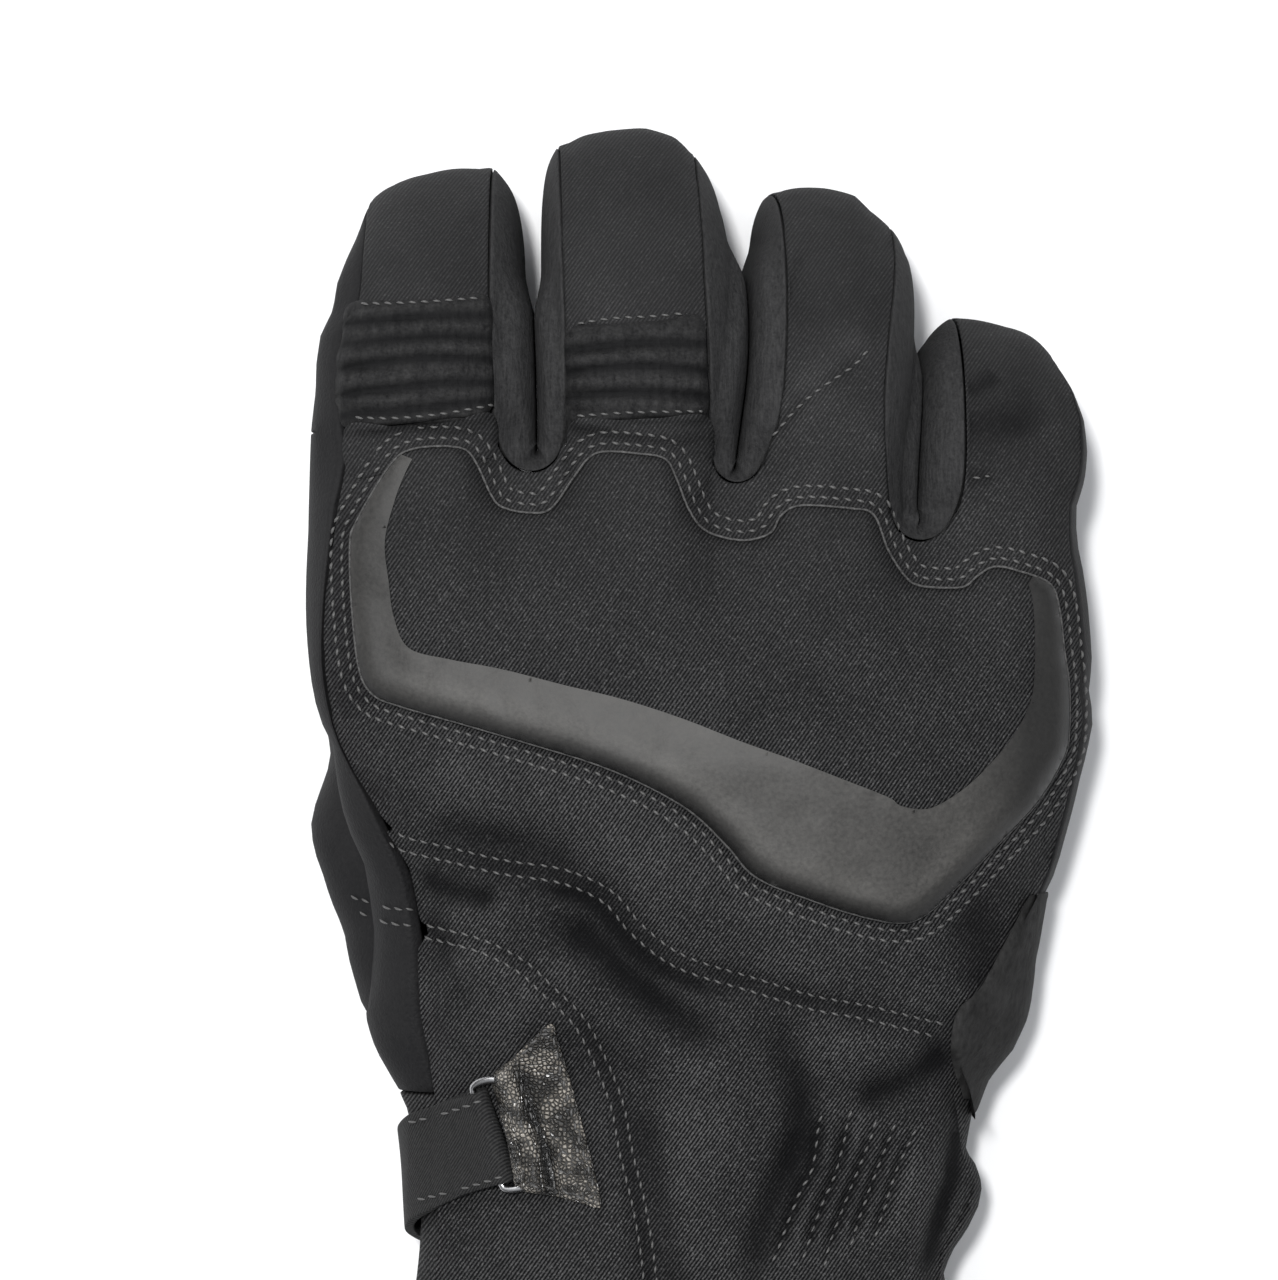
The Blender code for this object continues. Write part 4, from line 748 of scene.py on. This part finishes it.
WRIST_FOLDS = [
    (UPPER_WRIST_SEAM, 0.0020, 0.0007),
    (LOWER_WRIST_SEAM, 0.0016, 0.0007),
    ([(520, 884), (570, 893), (600, 908), (632, 944), (676, 975), (740, 998)], 0.0011, 0.0010),
    ([(545, 918), (597, 945), (640, 985), (690, 1030), (730, 1060)], 0.0036, 0.0013),
    ([(410, 775), (520, 800), (600, 832), (680, 892), (780, 938), (880, 968)], 0.0050, -0.0012),
    ([(430, 822), (520, 838), (590, 862)], 0.0026, 0.0009),
    ([(416, 870), (450, 888), (505, 900)], 0.0022, 0.0012),
    ([(420, 904), (447, 950), (468, 1012)], 0.0020, 0.0007),
    ([(440, 960), (500, 985), (540, 1020)], 0.0040, -0.0008),
    ([(660, 1000), (690, 1060), (700, 1130), (690, 1210), (700, 1290)], 0.0050, -0.0008),
    ([(640, 1090), (650, 1150), (668, 1230), (674, 1330)], 0.0026, 0.0008),
    ([(770, 1020), (796, 1070), (800, 1110), (791, 1160), (760, 1236), (748, 1300)], 0.0030, 0.0012),
    ([(850, 1100), (906, 1078), (960, 1046)], 0.0028, 0.0013),
    ([(780, 1040), (850, 1058), (930, 1050)], 0.0040, -0.0009),
    (OUTER_VALLEY, 0.0014, 0.0020),
    ([(935, 1130), (915, 1190), (893, 1260)], 0.0030, -0.0010),
    ([(960, 900), (985, 940), (970, 1000)], 0.0040, 0.0009),
    ([(900, 940), (930, 980), (935, 1020)], 0.0050, -0.0008),
    ([(450, 1330), (600, 1360), (800, 1350), (930, 1330)], 0.0060, 0.0009),
    ([(440, 1500), (650, 1530), (880, 1490)], 0.0060, 0.0008),
]
STRAP_LINE = [(394, 1168), (470, 1150), (560, 1120)]
STRAP_HALF = 0.0085
LOOSENING = 0.0070
PUCKERS = 11
fold_lines = [(photo_line(points), width, deep) for points, width, deep in WRIST_FOLDS]
tucks = [photo_line(tuck) for tuck in TUCKS]
strap_line = photo_line(STRAP_LINE)


def wrist_height(plan, gap):
    loose = np.clip((distance_to(strap_line, plan)[0] - STRAP_HALF) / LOOSENING, 0, 1)
    drop = np.zeros(len(plan))
    for line, width, deep in fold_lines:
        near, where = distance_to(line, plan)
        drop += deep * np.exp(-(near / width) ** 2) * fade(where, 6)
    dip = np.zeros(len(plan))
    for line in tucks:
        near, where = distance_to(line, plan)
        pucker = 1 + 0.30 * np.cos(where * PUCKERS * 2 * np.pi)
        dip = np.maximum(dip, np.exp(-(near / 0.0010) ** 2) * fade(where, 5) * pucker)
    soft = ripples(plan, 0.022, 0.016, 1) + 0.5 * ripples(plan, 0.008, 0.007, 2)
    soft += 0.22 * ripples(plan, 0.0030, 0.0030, 4)
    swell = 0.0019 * even(gap, 0.0070) - 1.3 * drop + 0.00050 * soft - 0.0018 * dip
    lift = 0.00012 + np.maximum(swell * loose * np.clip(gap / 0.002, 0, 1), 0)
    # The second value paints shade into the folds, seams and tucks, and painted highlights on the ridges and
    # swells.
    return lift, drop / 0.0012 + 0.90 * dip - 0.28 * soft


wrist_line = photo_line(WRIST_RIM, closed=True)
wrist_cloth = draped_patch("wrist_cloth", wrist_line, 0.0008, wrist_height, softshell)
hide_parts("wrist_gathers")
hand_trees.append(tree_of(wrist_cloth))

# Knuckle pad
# Foam lies under the softshell over the knuckles, thickest along its lower edge. The cloth is stretched down
# to the rim on all sides.
KNUCKLE_RIM = [
    (394, 468), (417, 452), (461, 451), (476, 464), (491, 496), (502, 509), (529, 515), (552, 511),
    (575, 480), (590, 461), (605, 455), (637, 457), (664, 462), (675, 481), (687, 511), (702, 531),
    (725, 540), (749, 542), (771, 534), (781, 517), (800, 508), (849, 511), (871, 517), (885, 551),
    (902, 577), (914, 586), (934, 589), (963, 588), (977, 577), (994, 568), (1019, 573), (1048, 585),
    (1057, 609), (1062, 650), (1067, 686), (1067, 730), (1062, 757), (1036, 800), (994, 844), (952, 886),
    (919, 914), (893, 919), (854, 911), (812, 897), (756, 874), (728, 844), (700, 816), (675, 798),
    (637, 778), (593, 760), (534, 742), (476, 725), (402, 704), (376, 693), (363, 669), (356, 610),
    (354, 546), (361, 522),
]
pad_rim = photo_line(KNUCKLE_RIM, closed=True, step=0.0006)


def pad_height(plan, gap):
    soft = ripples(plan, 0.014, 0.014, 3)
    rolled = np.clip((plan[:, 1] - photo(0, 600).y) / (photo(0, 760).y - photo(0, 600).y), 0, 1)
    dome = (0.0016 + 0.0030 * rolled) * even(gap, 0.0034) + 0.0008 * even(gap, 0.020)
    return 0.0003 + dome + 0.00020 * soft * np.clip(gap / 0.004, 0, 1), 0 * gap


knuckle_pad = draped_patch("knuckle_pad_cover", pad_rim, 0.0009, pad_height, softshell)
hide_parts("knuckle_pad")
hand_trees.append(tree_of(knuckle_pad))

# Film band on the pad
# A smooth satin film is welded along the pad's lower and outer edge, and rolls down to the rim with it.
BAND_EDGE = [
    (417, 458), (407, 478), (397, 505), (388, 543), (392, 584), (397, 618), (412, 648), (452, 659),
    (505, 669), (564, 684), (622, 698), (681, 717), (740, 740), (788, 757), (837, 776), (885, 795),
    (896, 803), (919, 807), (938, 801), (966, 782), (994, 754), (1011, 733), (1028, 699), (1032, 662),
    (1032, 626), (1030, 598), (1024, 578),
]


def draw_film(place):
    cloudy = place.noise(0.012, 3.0)
    fine = place.noise(0.0007, 2.0, 0.6)
    warm = place.noise(0.020, 2.0)
    tone = (cloudy * 0.20 + fine * 0.50 + warm * 0.30).clamp(0.1, 0.85) * place.painted_shade_factor()
    colour = tone.between((0.0060, 0.0060, 0.0062), (0.092, 0.0885, 0.0830))
    return colour, 0.46 + fine * 0.16, fine * 0.00003


film = finish("satin_film", draw_film, Specular_IOR_Level=0.30)
BAND_START = (1021, 575)
BAND_END = (410, 456)
first, last = (np.linalg.norm(pad_rim - photo(*end), axis=1).argmin() for end in (BAND_START, BAND_END))
outer_edge = pad_rim[first:last] if first < last else np.concatenate([pad_rim[first:], pad_rim[:last]])
inner_edge = photo_line(BAND_EDGE, step=0.0006)


def band_height(plan, gap):
    to_rim = distance_to(outer_edge, plan)[0]
    low_side = np.clip((photo(0, 600).y - plan[:, 1]) / 0.014, 0, 1)
    right_side = np.clip((plan[:, 0] - photo(960, 0).x) / 0.010, 0, 1)
    left_side = np.clip((photo(430, 0).x - plan[:, 0]) / 0.006, 0, 1)
    # Shade is painted on the film where it rolls down to the rim, over its right end and lightly over its
    # left end, with a painted highlight streak along the shoulder of the roll.
    painted_roll_shade = np.clip(1 - to_rim / 0.0030, 0, 1) ** 0.8 * (0.25 + 0.75 * low_side)
    painted_highlight_streak = 0.25 * np.exp(-((to_rim - 0.0046) / 0.0013) ** 2) * low_side
    dark = np.maximum.reduce([painted_roll_shade, 0.80 * right_side, 0.45 * left_side])
    return np.full(len(plan), 0.00020), dark - painted_highlight_streak * (1 - right_side)


band_rim = np.concatenate([outer_edge, inner_edge])
knuckle_band = draped_patch("knuckle_band_film", band_rim, 0.0006, band_height, film)
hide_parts("knuckle_band")

# Edge of the pad
# The cloth round the pad is cut out and laid over the pad's rim. Its bare edge shows as a thin pale line.


def draw_edge(place):
    frayed = place.noise(0.0007, 3.0, 0.7)
    colour = frayed.clamp(0.35, 0.7).between((0.018, 0.0176, 0.0174), (0.100, 0.098, 0.096))
    return colour, 0.7, frayed * 0.00008


EDGE_RADIUS = 0.0002
EDGE_LIFT = 0.0001
EDGE_STEADY = 4
edge_line = beside_line(pad_rim, EDGE_RADIUS, True)
heights = np.array([land(x, y, 0.0004)[0].z for x, y in edge_line])
around = np.concatenate([heights[-EDGE_STEADY:], heights, heights[:EDGE_STEADY]])
heights = np.convolve(around, np.ones(2 * EDGE_STEADY + 1) / (2 * EDGE_STEADY + 1), "valid")
curve = bpy.data.curves.new("knuckle_pad_edge", "CURVE")
curve.dimensions = "3D"
curve.bevel_depth = EDGE_RADIUS
curve.bevel_resolution = 2
spline = curve.splines.new("POLY")
spline.points.add(len(edge_line) - 1)
for point, (x, y), z in zip(spline.points, edge_line, heights):
    point.co = (x, y, z + EDGE_LIFT, 1)
spline.use_cyclic_u = True
pad_edge = bpy.data.objects.new("knuckle_pad_edge", curve)
bpy.context.scene.collection.objects.link(pad_edge)
select_only(pad_edge)
bpy.ops.object.convert(target="MESH")
bpy.ops.object.shade_smooth()
pad_edge.data.materials.append(finish("bare_cloth_edge", draw_edge))
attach(pad_edge, "root")
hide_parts("knuckle_piping")

# Heel patch
# A napped patch guards the outer heel of the hand. It wraps round the side, and two ridges show where its
# rim is turned in.


def draw_suede(place):
    nap = place.stretched(1.0, 0.5, 1.0).noise(0.0009, 3.0, 0.7)
    brushed = place.noise(0.006, 3.0)
    tone = (nap * 0.6 + brushed * 0.4).clamp(0.3, 0.72)
    colour = tone.between((0.006, 0.0058, 0.0058), (0.036, 0.0355, 0.035))
    return colour, 0.85, nap * 0.00020


suede = finish("napped_suede", draw_suede, Specular_IOR_Level=0.15)
heel_patch = sewn_panel("heel_patch", suede, 3, 0.2)
HEEL_EDGE = [
    (1031, 897), (1009, 936), (981, 987), (958, 1009), (951, 1043), (955, 1071), (964, 1094), (969, 1116),
]
HEEL_RIM = [
    *HEEL_EDGE, (980, 1090), (991, 1066), (1012, 1036), (1022, 1010), (1028, 984), (1035, 942), (1040, 905),
]
HEEL_SINK = 0.0012
WRIST_MIDDLE = 0.026
places = corners_of(heel_patch)[0]
outward = places * (1, 0, 1) - (0, 0, WRIST_MIDDLE)
outward /= np.linalg.norm(outward, axis=1)[:, None]
places -= outward * HEEL_SINK
rows = [photo(*point).y for point in reversed(HEEL_EDGE)]
edges = [photo(*point).x + HEEL_SINK for point in reversed(HEEL_EDGE)]
places[:, 0] = np.maximum(places[:, 0], np.interp(places[:, 1], rows, edges))
put_corners(heel_patch, places)
heel_ridges = [
    photo_line([(1034, 900), (1014, 962), (986, 990), (966, 1010), (959, 1037), (962, 1070)]),
    photo_line([(1040, 910), (1032, 950), (1022, 1000), (1001, 1042), (979, 1076)]),
]


def heel_height(plan, gap):
    lift = 0.0002 + 0.0009 * even(gap, 0.0016)
    for line in heel_ridges:
        lift = lift + 0.00028 * np.exp(-(distance_to(line, plan)[0] / 0.0005) ** 2)
    return lift, 0 * gap


heel_line = photo_line(HEEL_RIM, closed=True, step=0.0004)
heel_front = draped_patch("heel_patch_front", heel_line, 0.0005, heel_height, suede)
hand_trees.append(tree_of(heel_front))

# Strap, ring and leather tab
# A cloth-covered strap comes up from under the wrist and turns back round a dark metal ring. A tab of
# pebbled leather is folded round the ring's far bar and sewn down on the back of the cuff.


def draw_webbing(place):
    lines = place.wave((0.70, -0.72, 0.6), 0.00050)
    threads = place.noise(0.00045, 2.0, 0.7)
    tone = (lines * 0.4 + threads * 0.7).clamp(0.35, 0.95)
    colour = tone.between((0.0030, 0.0030, 0.0034), (0.038, 0.0375, 0.037))
    return colour, 0.80, lines * 0.00008 + threads * 0.00008


def draw_pebbles(place):
    pebbles = {"Vector": place, "Scale": 1 / 0.00066, "Randomness": 0.8}
    cells = place.node("TexVoronoi", pebbles, feature="SMOOTH_F1")
    # The pebbles' crowns are painted lighter as glints, brightest in random patches of painted shine; the
    # same crowns are raised in the bump and made less rough.
    crown_glint = place.node("TexVoronoi", pebbles, feature="DISTANCE_TO_EDGE").clamp(0.02, 0.30)
    shine = place.noise(0.004, 2.0).clamp(0.44, 0.60)
    tone = crown_glint * (0.16 + shine * 0.84) * place.painted_shade_factor()
    colour = tone.between((0.003, 0.003, 0.003), (0.330, 0.302, 0.262))
    return colour, 0.42 - crown_glint * 0.22, crown_glint * 0.00026 - cells * 0.00002


def draw_metal(place):
    scratches = place.stretched(1.0, 6.0, 1.0).noise(0.001, 3.0)
    colour = scratches.between((0.26, 0.26, 0.27), (0.52, 0.52, 0.52))
    return colour, 0.18 + scratches * 0.2, scratches * 0.00001


strap_cloth = finish("strap_webbing", draw_webbing, Specular_IOR_Level=0.3)
strap = sewn_panel("wrist_strap", strap_cloth, 3, 0.75)
hand_trees.append(tree_of(strap))
dark_metal = finish("dark_metal", draw_metal, Metallic=1.0)
ring = sewn_panel("strap_ring", dark_metal, 2, 0.0)

TAB_RIM = [
    (492, 1077), (512, 1058), (551, 1021), (557, 1034), (572, 1085), (588, 1145), (601, 1203), (585, 1202),
    (555, 1196), (519, 1190), (513, 1170), (506, 1135), (498, 1105),
]
tab_rim = photo_line(TAB_RIM, closed=True, step=0.0004)
tab_fold = photo_line([(490, 1076), (503, 1121), (513, 1154), (518, 1190)])
tab_seam = photo_line([(515, 1066), (529, 1109), (546, 1151), (556, 1190)])


def tab_height(plan, gap):
    fold = distance_to(tab_fold, plan)[0]
    seam = distance_to(tab_seam, plan)[0]
    roll = np.clip(1 - ((fold - 0.0022) / 0.0026) ** 2, 0, 1) ** 0.5
    edge = even(gap, 0.0012)
    sewn = 0.0006 * np.exp(-(seam / 0.0008) ** 2) * edge
    lift = 0.0010 + 0.0007 * edge + 0.0036 * roll * even(gap, 0.0018) - sewn
    side = np.exp(-((fold - 0.0050) / 0.0009) ** 2) + np.exp(-(fold / 0.0007) ** 2)
    # The second value paints shade along the seam and beside the fold, and a painted highlight on the top of
    # the roll.
    return lift, np.clip(0.85 * np.exp(-(seam / 0.0007) ** 2) + 0.6 * side, 0, 1) - 0.35 * roll


pebbled = finish("pebbled_leather", draw_pebbles, Specular_IOR_Level=0.9)
tab = draped_patch("ring_tab_leather", tab_rim, 0.0005, tab_height, pebbled)
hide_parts("ring_tab")
hand_trees.append(tree_of(tab))

# Stitches
# Every seam is sewn with bonded thread, about thirteen stitches to 25 mm. Each stitch is a short round
# length of thread that lies a little aslant and dips into the cloth at both ends.


def draw_thread(place):
    strands = place.noise(0.00025, 1.0)
    # The pale end of the thread's colour is a painted highlight on a thread about as dark as the cloth.
    colour = strands.between((0.026, 0.0255, 0.0252), (0.140, 0.138, 0.135))
    return colour, 0.50, strands * 0.00003


thread = finish("sewing_thread", draw_thread, Specular_IOR_Level=0.4)
STITCH_RINGS = 5
STITCH_SIDES = 6
STITCH_LENGTH = 0.00125
STITCH_SLANT = 0.22
UNEVEN = 0.14
STEEPEST = 0.25


def stitch_rows(name, lines, pitch=0.0019, width=0.00042, lift=0.00010):
    """Sew along plan lines. All the stitches make one piece."""
    corners = []
    faces = []
    for line in lines:
        line = np.asarray(line)
        run = np.concatenate([[0], np.cumsum(np.linalg.norm(np.diff(line, axis=0), axis=1))])
        for stop in np.arange(pitch / 2, run[-1], pitch):
            stop += UNEVEN * pitch * noise.noise(Vector((stop / pitch * 1.7, 0, 0)))
            ends = []
            for at in (stop - STITCH_LENGTH / 2, stop, stop + STITCH_LENGTH / 2):
                x, y = (np.interp(at, run, line[:, axis]) for axis in range(2))
                ends.append(land(x, y, 0.0004))
            if None in ends or (ends[0][0] - ends[2][0]).length > STITCH_LENGTH * 2.2:
                continue
            way = ends[2][0] - ends[0][0]
            reach = way.length
            way.normalize()
            up = ends[1][1].copy()
            if up.z < STEEPEST:
                continue
            up = (up - way * up.dot(way)).normalized()
            side = way.cross(up)
            way = (way + side * STITCH_SLANT).normalized()
            side = way.cross(up)
            middle = (ends[0][0] + ends[2][0]) / 2
            base = len(corners)
            for ring in range(STITCH_RINGS):
                share = ring / (STITCH_RINGS - 1) * 2 - 1
                thick = width / 2 * math.sqrt(max(1.06 - share ** 2, 0.06))
                bow = lift - share ** 2 * width * 0.35
                centre = middle + way * (share * reach / 2) + up * bow
                for corner in range(STITCH_SIDES):
                    angle = 2 * math.pi * corner / STITCH_SIDES
                    across = side * (math.cos(angle) * thick)
                    corners.append(centre + across + up * (math.sin(angle) * thick * 0.8))
            for ring in range(STITCH_RINGS - 1):
                for corner in range(STITCH_SIDES):
                    beside = (corner + 1) % STITCH_SIDES
                    low, high = base + ring * STITCH_SIDES, base + (ring + 1) * STITCH_SIDES
                    faces.append((low + corner, low + beside, high + beside, high + corner))
            last_ring = base + (STITCH_RINGS - 1) * STITCH_SIDES
            faces.append(tuple(base + corner for corner in reversed(range(STITCH_SIDES))))
            faces.append(tuple(last_ring + corner for corner in range(STITCH_SIDES)))
    mesh = bpy.data.meshes.new(name)
    mesh.from_pydata(corners, [], faces)
    mesh.materials.append(thread)
    piece = bpy.data.objects.new(name, mesh)
    bpy.context.scene.collection.objects.link(piece)
    select_only(piece)
    bpy.ops.object.mode_set(mode="EDIT")
    bpy.ops.mesh.select_all(action="SELECT")
    bpy.ops.mesh.normals_make_consistent(inside=False)
    bpy.ops.object.mode_set(mode="OBJECT")
    bpy.ops.object.shade_smooth()
    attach(piece, "root")
    return piece


stitch_rows("knuckle_pad_stitches", [
    beside_line(pad_rim, 0.0015, True), beside_line(pad_rim, 0.0032, True),
], width=0.00050)
upper_seam = photo_line(UPPER_WRIST_SEAM)
lower_seam = photo_line(LOWER_WRIST_SEAM)
stitch_rows("wrist_seam_stitches", [
    beside_line(upper_seam, 0.0012), beside_line(upper_seam, -0.0010),
    beside_line(lower_seam, 0.0010), beside_line(lower_seam, -0.0010),
])
stitch_rows("gather_stitches", tucks, pitch=0.0021, lift=0.0)
TAB_EDGE = [(520, 1056), (549, 1030), (562, 1075), (578, 1135), (594, 1194), (560, 1189), (528, 1183)]
stitch_rows("tab_stitches", [tab_seam, photo_line(TAB_EDGE)], pitch=0.0023)
SEAMS = {
    "finger_seam_stitches": [
        [(356, 420), (400, 421), (450, 416), (496, 407)],
        [(360, 306), (400, 306), (440, 304), (486, 300)],
        [(575, 328), (610, 322), (650, 320), (690, 316)],
        [(575, 419), (620, 416), (660, 415), (705, 414)],
        [(770, 440), (798, 408), (823, 388), (852, 368), (867, 351)],
        [(970, 479), (990, 476)],
        [(344, 900), (380, 908), (417, 910)],
        [(353, 916), (385, 924), (417, 926)],
    ],
    "cuff_hem_stitches": [
        [(404, 1716), (560, 1716), (700, 1716), (850, 1716), (1000, 1716)],
        [(404, 1703), (560, 1703), (700, 1703), (850, 1703), (998, 1703)],
    ],
    "strap_stitches": [
        [(404, 1128), (440, 1116), (487, 1097)],
        [(413, 1206), (450, 1194), (508, 1173)],
    ],
}
for name, seams in SEAMS.items():
    stitch_rows(name, [photo_line(seam) for seam in seams])

# Table, light and camera
# The glove lies on a white table. A small softbox hangs high above its upper left, a wide white sheet stands
# beyond the fingers and fills the shadows, and the camera looks straight down from a little over a metre.
TABLE_SIZE = 6
TABLE_TOP = -0.0004
bpy.ops.mesh.primitive_plane_add(size=TABLE_SIZE, location=(0, 0, TABLE_TOP))
table = bpy.context.object
table.name = "table"


def draw_table(place):
    return place.noise(0.3).between((0.86, 0.86, 0.87), (0.88, 0.88, 0.88)), 0.6, place.noise(0.01) * 0.00001


table.data.materials.append(finish("white_table", draw_table))


def lamp(name, place, aim, size, power):
    light = bpy.data.lights.new(name, "AREA")
    light.size = size
    light.energy = power
    made = bpy.data.objects.new(name, light)
    bpy.context.scene.collection.objects.link(made)
    made.location = place
    made.rotation_euler = (Vector(aim) - Vector(place)).to_track_quat("-Z", "Y").to_euler()
    return made


lamp("key_softbox", (-0.16, 0.26, 1.9), (0, 0.02, 0), 0.12, 28)
lamp("window_sheet", (-0.9, 0.9, 1.0), (0, 0.02, 0), 1.0, 7)
sky = bpy.data.worlds.new("studio")
bpy.context.scene.world = sky
sky.use_nodes = True
sky.node_tree.nodes["Background"].inputs["Color"].default_value = (0.95, 0.97, 1.0, 1)
direction = Reading(sky.node_tree, sky.node_tree.nodes.new("ShaderNodeTexCoord").outputs["Generated"])
height = direction.node("SeparateXYZ", {"Vector": direction}, 2)
strength = height.clamp(0.25, 1.0) * 1.05 + 0.05
sky.node_tree.links.new(strength.socket, sky.node_tree.nodes["Background"].inputs["Strength"])
bpy.context.scene.view_settings.view_transform = "Standard"

SENSOR_WIDTH = 36
lens = bpy.data.cameras.new("overhead")
camera = bpy.data.objects.new("overhead", lens)
bpy.context.scene.collection.objects.link(camera)
lens.sensor_width = SENSOR_WIDTH
middle = photo(*PICTURE_MIDDLE)
lens.lens = SENSOR_WIDTH * (CAMERA_HEIGHT - SCALE_HEIGHT) / (PICTURE_HEIGHT * PIXEL)
lens.clip_start = 0.05
lens.clip_end = 20
camera.location = (middle.x, middle.y, CAMERA_HEIGHT)
bpy.context.scene.camera = camera
